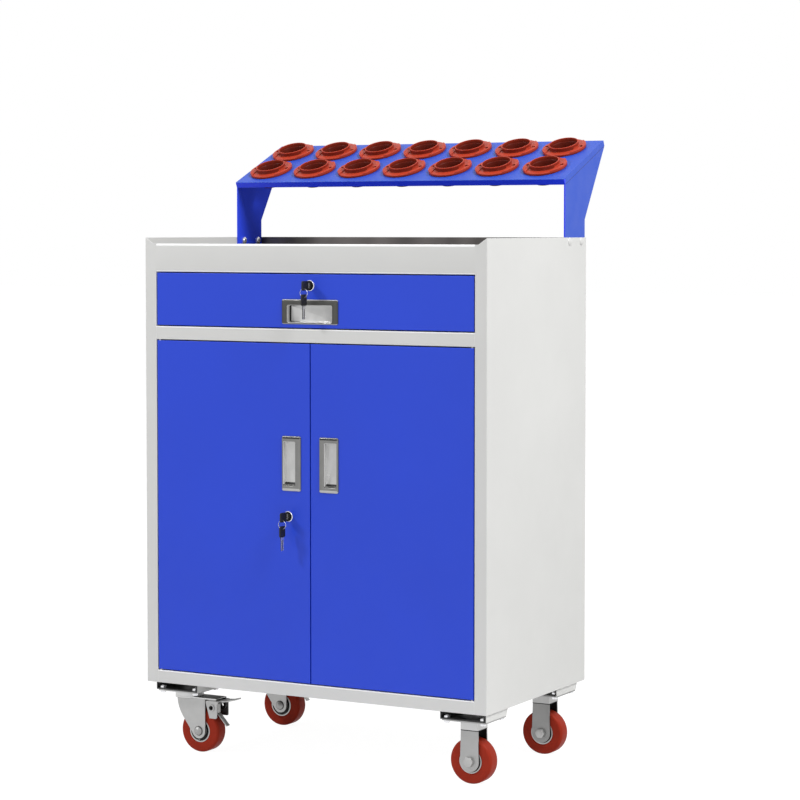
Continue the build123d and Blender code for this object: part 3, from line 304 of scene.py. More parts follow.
def settle(bm):
    """Merge doubled corners and turn the faces outwards."""
    bmesh.ops.remove_doubles(bm, verts=bm.verts, dist=1e-7)
    bmesh.ops.recalc_face_normals(bm, faces=bm.faces)
    return bm


def lathe(outline, segments=64):
    """Solid turned about Z from a closed outline of (radius, height)."""
    loops = []
    for step in range(segments):
        angle = tau * step / segments
        loops.append([(r * cos(angle), r * sin(angle), h) for r, h in outline])
    return settle(loft(loops, closed=True)[0])


def slab(outline, low, high, bevel=0.0):
    """Plate of an outline between two heights, with softened edges."""
    levels = [(low, 0.0), (high, 0.0)]
    if bevel:
        soft = bevel * 0.3
        levels = [(low, bevel), (low + soft, soft), (low + bevel, 0.0)]
        levels += [(high - bevel, 0.0), (high - soft, soft), (high, bevel)]
    loops = [[(p.x, p.y, z) for p in inset(outline, d)] for z, d in levels]
    return settle(loft(loops)[0])


def hex_head(flats, height):
    """Hexagon head on Z, its outer corners turned down."""
    steps = 8
    corner = flats / 2 / cos(pi / 6)
    loops = []
    for rise, share in ((0.0, 1.0), (0.78, 1.0), (0.93, 0.935), (1.0, 0.86)):
        loop = []
        for step in range(6 * steps):
            angle = step / steps * pi / 3
            reach = flats / 2 / cos(angle % (pi / 3) - pi / 6)
            reach = min(reach, corner * share)
            loop.append((reach * cos(angle), reach * sin(angle), height * rise))
        loops.append(loop)
    return settle(loft(loops)[0])


def shown(name, data):
    """A new object in the scene."""
    made = bpy.data.objects.new(name, data)
    bpy.context.scene.collection.objects.link(made)
    return made


def discard(item):
    """Remove a helper object and its mesh."""
    mesh = item.data
    bpy.data.objects.remove(item)
    bpy.data.meshes.remove(mesh)


def evaluated(item):
    """Mesh of an object with its modifiers applied. The object is removed."""
    view = bpy.context.evaluated_depsgraph_get()
    mesh = bpy.data.meshes.new_from_object(item.evaluated_get(view))
    discard(item)
    return mesh


def smoothed(mesh, angle):
    """Smooth shading across edges that bend less than an angle."""
    mesh.shade_smooth()
    mesh.set_sharp_from_angle(angle=radians(angle))
    return mesh


def to_mesh(bm, name, smooth=35.0):
    """Finished mesh of an edit mesh."""
    mesh = bpy.data.meshes.new(name)
    bm.to_mesh(mesh)
    bm.free()
    return smoothed(mesh, smooth)


def joined(*parts):
    """One edit mesh of several, each given alone or with its place."""
    whole = bmesh.new()
    for part in parts:
        part, place = part if isinstance(part, tuple) else (part, Matrix())
        part.transform(place)
        copy = to_mesh(part, "part")
        whole.from_mesh(copy)
        bpy.data.meshes.remove(copy)
    return whole


def combine(name, base, tools, operation):
    """Edit mesh of a base that is joined with or cut by others."""
    body = shown(name, to_mesh(base, name))
    helpers = [shown(name + "_tool", to_mesh(tool, name + "_tool")) for tool in tools]
    for helper in helpers:
        modifier = body.modifiers.new("Cut", "BOOLEAN")
        modifier.operation = operation
        modifier.solver = "EXACT"
        modifier.object = helper
    mesh = evaluated(body)
    for helper in helpers:
        discard(helper)
    bm = bmesh.new()
    bm.from_mesh(mesh)
    bpy.data.meshes.remove(mesh)
    return settle(bm)


def piece(mesh, body, looks=(), replaces=()):
    """Show a finished mesh as a piece of the object, with looks by name."""
    for look in looks:
        mesh.materials.append(finish(look))
    made = shown(mesh.name, mesh)
    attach(made, body)
    if replaces:
        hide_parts(*replaces)


def dress(look, *nodes):
    """Give CAD nodes a finish by name."""
    for name in nodes:
        slots = frame["nodes"][name].data.materials
        slots.clear()
        slots.append(finish(look))


def middle(node):
    """Centre of a CAD node's box."""
    low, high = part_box(node)
    return (low + high) / 2


# Finishes


def feed(node, inputs):
    """Link or set inputs of a node, by name or number."""
    for key, value in inputs.items():
        if isinstance(value, bpy.types.NodeSocket):
            node.id_data.links.new(value, node.inputs[key])
        else:
            node.inputs[key].default_value = value


def add_node(tree, kind, inputs=None, out=0, **settings):
    """One output of a new node, by name or number."""
    made = tree.nodes.new(kind)
    for name, value in settings.items():
        setattr(made, name, value)
    feed(made, inputs or {})
    return made.outputs[out]


class Finish:
    """One procedural material, built up from its own noise. Masks run from 0 to 1."""

    def __init__(self, name, base, roughness, metallic=0.0, specular=0.5):
        self.material = bpy.data.materials.new(name)
        self.material.use_nodes = True
        self.material.diffuse_color = (*base, 1.0)
        self.tree = self.material.node_tree
        self.shader = self.tree.nodes["Principled BSDF"]
        self.base = base
        inputs = {"Base Color": (*base, 1.0), "Roughness": roughness, "Metallic": metallic}
        feed(self.shader, inputs | {"Specular IOR Level": specular})
        self.place = self.node("TexCoord", out="Object")
        self.normal = None

    def node(self, kind, inputs=None, **settings):
        """One output of a new shader node."""
        return add_node(self.tree, "ShaderNode" + kind, inputs, **settings)

    def noise(self, scale, detail=2.0, stretch=(1, 1, 1)):
        """Noise on the object's own coordinates."""
        placed = self.node("Mapping", {"Vector": self.place, "Scale": stretch})
        return self.node("TexNoise", {"Vector": placed, "Scale": scale, "Detail": detail})

    def math(self, operation, first, second=0.0):
        """A sum or comparison of two values."""
        return self.node("Math", {0: first, 1: second}, operation=operation)

    def dot(self, first, second):
        """Scalar product of two vectors."""
        inputs = {0: first, 1: second}
        return self.node("VectorMath", inputs, out="Value", operation="DOT_PRODUCT")

    def spread(self, value, low, high, start=0.0, end=1.0):
        """A value between two limits, carried over to another range."""
        inputs = {"Value": value, "From Min": low, "From Max": high}
        return self.node("MapRange", inputs | {"To Min": start, "To Max": end})

    def mix(self, factor, first, second):
        """A blend of two colours."""
        return self.node("Mix", {0: factor, 6: first, 7: second}, out=2, data_type="RGBA")

    def coordinate(self, axis):
        """One of the object's own coordinates."""
        return self.node("SeparateXYZ", {"Vector": self.place}, out=axis)

    def away(self, axis, centre):
        """Distance from a place along one axis."""
        return self.math("ABSOLUTE", self.math("SUBTRACT", self.coordinate(axis), centre))

    def within(self, value, low, high):
        """Mask of a value between two limits."""
        above = self.math("GREATER_THAN", value, low)
        return self.both(above, self.math("LESS_THAN", value, high))

    def over(self, axis, limit):
        """Mask of the part past a limit along one axis."""
        return self.math("GREATER_THAN", self.coordinate(axis), limit)

    def under(self, axis, limit):
        """Mask of the part short of a limit along one axis."""
        return self.math("LESS_THAN", self.coordinate(axis), limit)

    def near(self, axis, centre, reach):
        """Mask of the part within a reach of a place along one axis."""
        return self.math("LESS_THAN", self.away(axis, centre), reach)

    def ring(self, centre, inner, outer):
        """Mask between two distances from a line along Y."""
        x, z = self.away("X", centre.x), self.away("Z", centre.z)
        squares = self.math("ADD", self.math("MULTIPLY", x, x), self.math("MULTIPLY", z, z))
        return self.within(squares, inner**2, outer**2)

    def both(self, *masks):
        """Where all of several masks meet."""
        return reduce(partial(self.math, "MULTIPLY"), masks)

    def union(self, *masks):
        """The highest of several masks."""
        return reduce(partial(self.math, "MAXIMUM"), masks)

    def outside(self, mask):
        """The rest of the surface."""
        return self.math("SUBTRACT", 1.0, mask)

    def folds(self, radius):
        """Mask along the edges of the sheet."""
        bent, flat = 0.75, 0.99
        rounded_off = self.node("Bevel", {"Radius": radius}, samples=8)
        turn = self.dot(rounded_off, self.node("NewGeometry", out="Normal"))
        return self.spread(turn, bent, flat, 1.0, 0.0)

    def colour(self, output):
        """Take the base colour from an output."""
        feed(self.shader, {"Base Color": output})
        return self

    def shades(self, factor, dark, light):
        """The base colour, darker and lighter along a factor."""
        made = self.node("ValToRGB", {"Fac": factor})
        stops = zip(made.node.color_ramp.elements, noise_range, (dark, light))
        for element, place, share in stops:
            element.position = place
            element.color = (*(min(1.0, c * share) for c in self.base), 1.0)
        return made

    def tint(self, mask, shade):
        """Another colour over the present one where a mask is 1."""
        present = self.shader.inputs["Base Color"].links[0].from_socket
        return self.colour(self.mix(mask, present, (*shade, 1.0)))

    def lighten(self, mask, share):
        """The base colour, nearer to white by a share where a mask is 1."""
        return self.tint(mask, tuple(c + (1 - c) * share for c in self.base))

    def roughen(self, factor, low, high):
        """Roughness between two values along a factor."""
        feed(self.shader, {"Roughness": self.spread(factor, *noise_range, low, high)})

    def lean(self, output):
        """Take the shading normal from an output."""
        self.normal = output
        feed(self.shader, {"Normal": output})
        return self

    def soften(self, radius):
        """Light catches the edges as if they were rounded by a radius."""
        return self.lean(self.node("Bevel", {"Radius": radius}, samples=6))

    def bump(self, height, distance, strength):
        """Raise the surface by a height field."""
        inputs = {"Height": height, "Distance": distance, "Strength": strength}
        if self.normal:
            inputs["Normal"] = self.normal
        return self.lean(self.node("Bump", inputs))


def chosen(group, field):
    """A colour from the settings."""
    return tuple(getattr(getattr(bpy.context.scene, "cabinet_" + group), field))


def powder_coat(name, field, specular=0.4):
    """Powder coat: a fine orange peel, faint clouds and a little dust in the gloss."""
    paint = bpy.context.scene.cabinet_paint
    made = Finish(name, chosen("paint", field), paint.roughness, specular=specular)
    made.colour(made.shades(made.noise(4.0, 4.0), 0.965, 1.03))
    made.roughen(made.noise(35.0, 3.0), paint.roughness - 0.04, paint.roughness + 0.05)
    made.soften(0.5 * mm)
    return made.bump(made.noise(420.0), paint.peel, 0.35)


def plated(name, field, roughness, spangle=0.06, grain=0.04, metallic=0.85, share=1.0):
    """Plated sheet metal: cloudy spangle, rolling lines and soft edges."""
    base = tuple(c * share for c in chosen("metal", field))
    made = Finish(name, base, roughness, metallic)
    made.colour(made.shades(made.noise(70.0, 5.0), 1 - spangle, 1 + spangle))
    made.roughen(made.noise(25.0, 4.0), roughness - 0.07, roughness + 0.09)
    made.soften(0.4 * mm)
    return made.bump(made.noise(260.0, 3.0, (1, 1, 0.12)), grain * mm, 0.4)


caster_zinc = partial(plated, field="zinc", roughness=0.42, spangle=0.03)


def moulded(name, base, roughness, grain=0.03, specular=0.3):
    """Moulded plastic: an even colour with flow marks and a fine grain."""
    made = Finish(name, base, roughness, specular=specular)
    made.colour(made.shades(made.noise(28.0, 3.0), 0.93, 1.07))
    made.roughen(made.noise(60.0), roughness - 0.05, roughness + 0.06)
    return made.bump(made.noise(900.0), grain * mm, 0.4)


def make_body_grey(name):
    """Grey powder coat, with a painted highlight along the folds and the rails' top edges."""
    fold, skin = bpy.context.scene.cabinet_paint.fold, 1 * mm
    made = powder_coat(name, "body")
    folds = [made.folds(fold)]
    # Painted highlight in bands at the top edges of the middle rail and the base panel.
    for rail in ("middle_rail", "base_panel"):
        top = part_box(rail)[1].z
        folds.append(made.within(made.coordinate("Z"), top - 1.3 * fold, top + skin))
    return made.lighten(made.union(*folds), 0.7)


def make_wall_grey(name):
    """The same grey on the walls, with a painted highlight along their folds, left off where
    the welds to the rails are dressed flush.
    """
    made = powder_coat(name, "body")
    rails = [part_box(node) for node in ("base_panel", "middle_rail", "top_rail")]
    beside = made.near("X", 0.0, rails[-1][1].x + 3 * mm)
    openings = [
        made.within(made.coordinate("Z"), below[1].z, above[0].z)
        for below, above in zip(rails, rails[1:])
    ]
    welded = made.both(beside, made.outside(made.union(*openings)))
    folds = made.folds(bpy.context.scene.cabinet_paint.fold)
    return made.lighten(made.both(folds, made.outside(welded)), 0.55)


def make_rail_fold(name):
    """Grey of the top rail, with a painted highlight on its rolled rim, along its hem and along
    its folds short of the ends.
    """
    hem, weld, rim_foot, rim_top = 2.2 * mm, 4 * mm, 4.5 * mm, 2.5 * mm
    made = powder_coat(name, "body")
    low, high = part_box("top_rail")
    rim = made.spread(made.coordinate("Z"), high.z - rim_foot, high.z - rim_top)
    folds = made.folds(bpy.context.scene.cabinet_paint.fold)
    folds = made.both(folds, made.near("X", 0.0, high.x - weld))
    return made.lighten(made.union(rim, made.under("Z", low.z + hem), folds), 0.72)


def make_rack_blue(name):
    """Blue of the rack, with a dark seam where the plate's side lips meet the arms and painted
    shade on the front lip.
    """
    side_lip, half_seam, front_lip, bend = 11 * mm, 0.45 * mm, 6 * mm, 0.8 * mm
    made = powder_coat(name, "rack")
    starts, _, tilt = cup_places()
    down = Vector((0, 0, -1))
    down.rotate(tilt)
    drop = made.math("SUBTRACT", made.dot(made.place, down), down.dot(starts[0]))
    low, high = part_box("rack_plate")
    seam = made.within(drop, side_lip - half_seam, side_lip + half_seam)
    outer = made.math("GREATER_THAN", made.away("X", 0.0), high.x - 0.1 * mm)
    made.tint(made.both(seam, outer), chosen("paint", "seam"))
    # Painted shade on the front lip.
    lip = made.both(made.under("Y", low.y + front_lip), made.math("GREATER_THAN", drop, bend))
    return made.tint(lip, chosen("paint", "lip"))


def make_channel(name):
    """Grey paint on the channels' sides, with painted shade inside and at the open ends."""
    wall, skin = 1.9 * mm, 1.0 * mm
    made = powder_coat(name, "body")
    low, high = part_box("caster_channels")
    plate_low, plate_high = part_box("front_left_swivel_plate")
    half = (plate_high.x - plate_low.x) / 2 + skin
    inside = [made.near("X", x, half - wall) for x in (low.x + half, high.x - half)]
    # Painted shade: the channels' insides and open front ends are painted dark.
    dark = made.union(made.under("Y", low.y + skin), *inside)
    return made.tint(dark, chosen("metal", "seal"))


def make_fork(name, row):
    """Swivel fork: painted shade between the cheeks, a painted highlight on its crown and
    painted shade behind the pin.
    """
    node = row + "_left_fork"
    crown_depth, top_depth, pin = 1.2 * mm, 0.2 * mm, 6 * mm
    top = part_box(node)[1].z
    made = caster_zinc(name)
    # Painted shade between the cheeks, a painted highlight on the crown and painted shade on
    # its top behind the pin.
    between = made.near("Y", middle(node).y, half_fork)
    crown_highlight = made.over("Z", top - crown_depth)
    made.tint(made.both(between, made.outside(crown_highlight)), chosen("metal", "seal"))
    made.tint(crown_highlight, chosen("metal", "crown_highlight"))
    behind = made.over("X", middle(row + "_left_swivel_plate").x + pin)
    shaded_behind_pin = made.both(made.over("Z", top - top_depth), behind, between)
    return made.tint(shaded_behind_pin, chosen("metal", "shade_behind_pin"))


def make_lever(name, row):
    """Brake lever: painted shade on the inner faces of the cheeks on both sides of the tongue.
    """
    node = row + "_left_brake_lever"
    half_tongue, pedal = 5.2 * mm, 7.8 * mm
    made = caster_zinc(name)
    # Painted shade on the cheeks' inner faces below the pedal.
    inner = made.within(made.away("Y", middle(node).y), half_tongue, half_lever)
    below = made.under("Z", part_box(node)[1].z - pedal)
    return made.tint(made.both(inner, below), chosen("metal", "cheek_shade"))


def make_bracket(name, row):
    """Rigid fork: painted shade between the cheeks, a dark weld line under its block and a
    painted highlight on the block; the sheets are painted darker as shade, the rear fork most.
    """
    node = row + "_right_bracket"
    plate, block, weld = 2.5 * mm, 18.5 * mm, 1.0 * mm
    # Painted light and shade: each fork's sheet and block are painted darker for how the light
    # falls, the rear fork darker.
    painted_sheet_light, painted_block_light = (0.86, 1.0) if row == "front" else (0.62, 0.82)
    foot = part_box(node)[1].z - plate - block
    made = caster_zinc(name, share=painted_sheet_light)
    height = made.coordinate("Z")
    between = made.both(made.near("Y", middle(node).y, half_fork), made.under("Z", foot))
    line = made.within(height, foot - 0.6 * weld, foot + weld)
    made.tint(made.union(between, line), chosen("metal", "seal"))
    # Painted highlight: the block's face is painted lighter.
    face = made.within(height, foot + weld, foot + block - 0.5 * weld)
    return made.tint(face, tuple(c * painted_block_light for c in chosen("metal", "block")))


def make_rivets(name, row):
    """Axle bolt and brake rivets: painted shade in the rivets' bores, between the cheeks and in
    a ring round the axle bolt, which is darker.
    """
    node = row + "_left_fork_bolts"
    rivet, bore, bolt, washer = 6.5 * mm, 4.3 * mm, 7.6 * mm, 11 * mm
    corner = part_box(node)[1]
    made = caster_zinc(name)
    # Painted shade in the rivets' bores, between the cheeks and round the axle bolt's head.
    hole = made.ring(corner - Vector((rivet, 0, rivet)), 0.0, bore)
    between = made.near("Y", middle(node).y, half_fork)
    made.tint(made.union(between, hole), chosen("metal", "seal"))
    made.tint(made.under("Z", corner.z - 2.2 * rivet), chosen("metal", "bolt"))
    groove = made.ring(middle(row + "_left_tyre"), bolt, washer)
    return made.tint(groove, chosen("metal", "groove"))


def make_swivel_plate(name, row):
    """Swivel plate, with painted light on the race housing under it."""
    plate = 2.6 * mm
    made = caster_zinc(name)
    housing_light = made.under("Z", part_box(row + "_left_swivel_plate")[1].z - plate)
    return made.tint(housing_light, chosen("metal", "housing_light"))


def make_recess(name):
    """Brushed steel, its lines along the recess."""
    made = plated(name, "recess", 0.34)
    return made.bump(made.noise(500.0, 3.0, (0.05, 1, 1)), 0.03 * mm, 0.35)


def make_lock_barrel(name, lock):
    """Chrome bezel round a black lock face."""
    face = 8.6 * mm
    made = plated(name, "chrome", 0.2, 0.03)
    disc = made.ring(middle(lock + "_lock_barrel"), 0.0, face)
    return made.tint(disc, chosen("plastic", "black"))


def make_tray_metal(name):
    """Dark tray sheet, with the cups' shadows painted on its rear wall as soft upright bands.
    """
    made = Finish(name, chosen("metal", "tray"), 0.4, metallic=0.7)
    wall = made.over("Y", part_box("top_tray")[1].y - 4 * mm)
    # Painted shadows of the cups on the rear wall, with lighter gaps between them.
    bands = made.shades(made.noise(11.0, 1.0, (1, 0.3, 0.02)), 0.35, 2.1)
    clouds = made.shades(made.noise(14.0, 3.0), 0.85, 1.15)
    made.colour(made.mix(wall, clouds, bands))
    made.roughen(made.noise(30.0, 4.0), 0.34, 0.5)
    return made.bump(made.noise(300.0, 3.0, (0.1, 1, 1)), 0.03 * mm, 0.4)


def make_cup_red(name):
    """Red cup plastic, with a faint painted highlight on its edges and painted shade down the
    bore, on the collar and under the flange's rim.
    """
    made = moulded(name, chosen("plastic", "cup"), 0.4, specular=0.16)
    made.lighten(made.folds(0.8 * mm), 0.08)
    shade = made.node("Attribute", out="Fac", attribute_name=shade_layer)
    return made.tint(shade, chosen("plastic", "cup_shade"))


def make_tyre_red(name):
    """Red tyre with faint wear and a satin face."""
    made = moulded(name, chosen("plastic", "tyre"), 0.5, 0.05, 0.12)
    return made.bump(made.noise(140.0, 4.0), 0.05 * mm, 0.3)


finish_makers = {
    "body_grey": make_body_grey,
    "wall_grey": make_wall_grey,
    "rail_fold": make_rail_fold,
    "front_blue": partial(powder_coat, field="fronts"),
    "rack_blue": make_rack_blue,
    "arm_blue": partial(powder_coat, field="arm", specular=0.03),
    "drawer_grey": partial(powder_coat, field="drawer"),
    "channel": make_channel,
    "zinc": partial(plated, field="zinc", roughness=0.42),
    "bright_steel": partial(plated, field="chrome", roughness=0.2, spangle=0.03),
    "edge_steel": partial(plated, field="edge", roughness=0.4, spangle=0.03, grain=0.01),
    "grip_light": partial(plated, field="grip_light", roughness=0.38),
    "grip_dark": partial(plated, field="grip_dark", roughness=0.4),
    "recess": make_recess,
    "recess_wall": partial(
        plated, field="recess_wall", roughness=0.36, spangle=0.02, metallic=0.3
    ),
    "drawer_lock_barrel": partial(make_lock_barrel, lock="drawer"),
    "door_lock_barrel": partial(make_lock_barrel, lock="door"),
    "tray_metal": make_tray_metal,
    # Dark finish for seals and screws, also painted shade in the grips and key grooves.
    "seal": lambda name: moulded(name, chosen("metal", "seal"), 0.5),
    "cup_red": make_cup_red,
    "tyre_red": make_tyre_red,
    "black_plastic": lambda name: moulded(name, chosen("plastic", "black"), 0.42),
}

caster_finishes = {
    "left_fork": make_fork,
    "left_brake_lever": make_lever,
    "left_fork_bolts": make_rivets,
    "left_swivel_plate": make_swivel_plate,
    "right_bracket": make_bracket,
}
for end in ("front", "rear"):
    for part, maker in caster_finishes.items():
        finish_makers[end + "_" + part] = partial(maker, row=end)


def finish(name):
    """A finish by name, built the first time that it is asked for."""
    label = "finish_" + name
    return bpy.data.materials.get(label) or finish_makers[name](label).material


# Geometry node trees


def new_tree(label, sockets):
    """Geometry node tree with one output and named inputs."""
    tree = bpy.data.node_groups.new(label, "GeometryNodeTree")
    kind = "NodeSocketGeometry"
    tree.interface.new_socket("Geometry", in_out="OUTPUT", socket_type=kind)
    for name, kind in sockets:
        tree.interface.new_socket(name, in_out="INPUT", socket_type="NodeSocket" + kind)
    return tree, tree.nodes.new("NodeGroupInput").outputs


def add_step(tree, kind, inputs, **settings):
    """One output of a new geometry node."""
    return add_node(tree, "GeometryNode" + kind, inputs, **settings)


def realized(tree, geometry):
    """Instances turned to plain geometry."""
    return add_step(tree, "RealizeInstances", {"Geometry": geometry})


def close_tree(tree, given, geometry):
    """Hand out what a tree has made, realized and in its finish."""
    inputs = {"Geometry": realized(tree, geometry), "Material": given["Finish"]}
    coated = add_step(tree, "SetMaterial", inputs)
    feed(tree.nodes.new("NodeGroupOutput"), {"Geometry": coated})
    return tree


def repeat_tree(label):
    """Copies of one piece along three nested lines of points."""
    lines = ("Column", "Row", "Pair")
    sockets = [("Piece", "Object"), ("Finish", "Material"), ("Start", "Vector")]
    sockets.append(("Tilt", "Vector"))
    for line in lines:
        sockets += [(line + " count", "Int"), (line + " step", "Vector")]
    tree, given = new_tree(label, sockets)
    points = None
    for line in lines:
        inputs = {"Count": given[line + " count"], "Offset": given[line + " step"]}
        if points is None:
            inputs["Start Location"] = given["Start"]
        made = add_step(tree, "MeshLine", inputs, mode="OFFSET")
        if points is None:
            points = made
            continue
        inputs = {"Points": points, "Instance": made}
        points = realized(tree, add_step(tree, "InstanceOnPoints", inputs))
    source = add_step(tree, "ObjectInfo", {"Object": given["Piece"]}, out="Geometry")
    inputs = {"Points": points, "Instance": source, "Rotation": given["Tilt"]}
    return close_tree(tree, given, add_step(tree, "InstanceOnPoints", inputs))


def ring_tree(label):
    """Split ring: a flat spiral of wire."""
    sockets = [("Finish", "Material"), ("Place", "Vector"), ("Tilt", "Vector")]
    for name in ("Ring radius", "Wire radius", "Turns", "Rise"):
        sockets.append((name, "Float"))
    tree, given = new_tree(label, sockets)
    radius = given["Ring radius"]
    inputs = {"Resolution": 48, "Rotations": given["Turns"], "Height": given["Rise"]}
    inputs |= {"Start Radius": radius, "End Radius": radius}
    spiral = add_step(tree, "CurveSpiral", inputs)
    inputs = {"Resolution": 10, "Radius": given["Wire radius"]}
    wire = add_step(tree, "CurvePrimitiveCircle", inputs)
    inputs = {"Curve": spiral, "Profile Curve": wire, "Fill Caps": True}
    skin = add_step(tree, "CurveToMesh", inputs)
    inputs = {"Geometry": skin, "Translation": given["Place"], "Rotation": given["Tilt"]}
    return close_tree(tree, given, add_step(tree, "Transform", inputs))


def grown(name, label, build, values, smooth=35.0):
    """Plain mesh that a geometry node tree makes from its named values."""
    tree = bpy.data.node_groups.get(label) or build(label)
    holder = shown(name + "_nodes", bpy.data.meshes.new(name + "_nodes"))
    modifier = holder.modifiers.new("Nodes", "NODES")
    modifier.node_group = tree
    for item in tree.interface.items_tree:
        if item.in_out == "INPUT" and item.name in values:
            modifier[item.identifier] = values[item.name]
    mesh = evaluated(holder)
    mesh.name = name
    return smoothed(mesh, smooth)


def add_copies(name, master, look, slot, replaces, start, tilt=(0, 0, 0), **lines):
    """Piece of one edit mesh copied along up to three nested lines of (count, step)."""
    source = shown(name + "_one", to_mesh(master, name + "_one"))
    values = {"Piece": source, "Finish": finish(look)}
    values |= {"Start": tuple(start), "Tilt": tuple(tilt)}
    for line in ("column", "row", "pair"):
        count, step = lines.get(line, (1, (0, 0, 0)))
        values[line.capitalize() + " count"] = count
        values[line.capitalize() + " step"] = tuple(step)
    piece(grown(name, "Repeated piece", repeat_tree, values), "cabinet", (), replaces)
    discard(source)


# Pieces


def top_rail_mesh(name):
    """Front rail of bent sheet, with a rolled rim on top and a stiffening lip below."""
    sheet, front_bend, rim_bend, bend = 1.2 * mm, 4.0 * mm, 2.4 * mm, 1.8 * mm
    rim_width, lip_height, tray_depth = 12 * mm, 10 * mm, 27 * mm
    low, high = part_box("top_rail")
    rim_back = low.y + rim_width
    lip_top = low.z + lip_height
    tray_floor = high.z - tray_depth
    outline = [
        (rim_back, tray_floor, 0),
        (rim_back, high.z, rim_bend),
        (low.y, high.z, front_bend),
        (low.y, low.z, bend),
        (high.y, low.z, bend),
        (high.y, lip_top, 0),
        (high.y - sheet, lip_top, 0),
        (high.y - sheet, low.z + sheet, bend - sheet),
        (low.y + sheet, low.z + sheet, bend - sheet),
        (low.y + sheet, high.z - sheet, front_bend - sheet),
        (rim_back - sheet, high.z - sheet, rim_bend - sheet),
        (rim_back - sheet, tray_floor, 0),
    ]
    profile = rounded(outline, 6)
    loops = [[(x, p.x, p.y) for p in profile] for x in (low.x, high.x)]
    return to_mesh(settle(loft(loops)[0]), name)


class CABINET_OT_carcass(bpy.types.Operator):
    """Finish the carcass, the tray and the shelf"""

    bl_idname = "cabinet.carcass"
    bl_label = "Carcass"

    def execute(self, context):
        dress("wall_grey", "left_side_panel", "right_side_panel")
        dress("body_grey", "base_panel", "back_panel", "middle_rail", "shelf")
        rail = top_rail_mesh("top_rail_pressed")
        piece(rail, "cabinet", ["rail_fold"], ["top_rail"])
        dress("tray_metal", "top_tray")
        dress("channel", "caster_channels")
        dress("zinc", "shelf_clips", "hinge_pins", "cabinet_runners")
        dress("black_plastic", "door_magnets")
        return {"FINISHED"}


class CABINET_OT_fronts(bpy.types.Operator):
    """Finish the doors and the drawer"""

    bl_idname = "cabinet.fronts"
    bl_label = "Doors and drawer"

    def execute(self, context):
        dress("front_blue", "left_door", "right_door", "drawer_front")
        dress("drawer_grey", "drawer_box")
        dress("zinc", "drawer_slides")
        return {"FINISHED"}


def grip_mesh(name, place, size, cup, upright):
    """Recessed grip: a bevelled frame round a finger cup, thin on its lower side.

    Size and cup are (length, height) and the place turns length, height and the way
    out of the panel into X, Y and Z. An upright grip has a sloping ledge at its foot.
    Its faces have the looks frame, recess, painted shade, painted highlight and painted light
    on the walls, in that order.
    """
    frame_look, recess_look, shade_look, highlight_look, lit_wall_look = range(5)
    thin, wall, proud, depth = 3.5 * mm, 1.2 * mm, 2.4 * mm, 14 * mm
    corner, least_corner, cup_corner, ledge_height = 3.4 * mm, 0.6 * mm, 2.5 * mm, 3 * mm
    cup_middle = (0, -size[1] / 2 + thin + cup[1] / 2)
    foot = place.translation.z - cup[0] / 2 + ledge_height
    floor = -6 * mm if upright else -depth + wall
    bevel = 4.8 * mm if upright else 2.2 * mm

    def loop(width, height, radius, z, centre=(0, 0)):
        outline = rounded_box(width, height, radius, centre)
        return [place @ Vector((p.x, p.y, z)) for p in outline]

    def frame_loop(along, across, z):
        radius = max(least_corner, corner - across)
        return loop(size[0] - 2 * along, size[1] - 2 * across, radius, z)

    def cup_loop(more, z, ledge=0.0):
        sides = [side + 2 * more for side in cup]
        points = loop(*sides, cup_corner + more, z, cup_middle)
        for point in points:
            if upright and point.z < foot:
                point.z += ledge
        return points

    loops = [
        cup_loop(wall, -depth),
        cup_loop(wall, 0),
        frame_loop(0, 0, 0),
        frame_loop(0, 0, 0.8 * mm),
        frame_loop(0.5 * mm, 0.4 * mm, 1.5 * mm),
        frame_loop(1.8 * mm, 1.2 * mm, 2.1 * mm),
        frame_loop(bevel, 2.2 * mm, proud - 0.01 * mm),
        cup_loop(0.8 * mm, proud),
        cup_loop(0.25 * mm, 2.15 * mm),
        cup_loop(0, 1.5 * mm, 0.3 * mm),
        cup_loop(0, floor / 2, 2.0 * mm),
        cup_loop(0, floor + 1.4 * mm, 3.2 * mm),
        cup_loop(-0.6 * mm, floor + 0.5 * mm, 3.4 * mm),
        cup_loop(-1.8 * mm, floor, 3.6 * mm),
    ]
    first_recess_band = 8
    bm, bands = loft(loops)
    for band in bands[first_recess_band:]:
        for face in band:
            face.material_index = recess_look
    settle(bm)
    slight, steep = 0.08, 0.35
    # Painted light and shade by the way each face turns: a painted highlight on the frame's
    # lower bevels (both bevels on the drawer grip), painted shade on the upright frame's top
    # slope, at the recess's foot and deep on the drawer recess's left wall, and painted light
    # on the walls facing right.
    for face in bm.faces:
        up, side = face.normal.z, face.normal.x
        out = (place.inverted() @ face.calc_center_median()).z
        if face.material_index == frame_look and out > 0.9 * mm:
            if up < -slight if upright else abs(up) > steep:
                face.material_index = highlight_look
            elif upright and slight < up < steep:
                face.material_index = shade_look
        elif face.material_index == recess_look and out > floor + 0.2 * mm:
            if upright and up > 0.2:
                ledge = floor / 2 < out < 1.0 * mm
                face.material_index = frame_look if ledge else shade_look
            elif side > 0.4:
                light = upright or out > floor / 2
                face.material_index = lit_wall_look if light else shade_look
    return to_mesh(bm, name, 40.0)


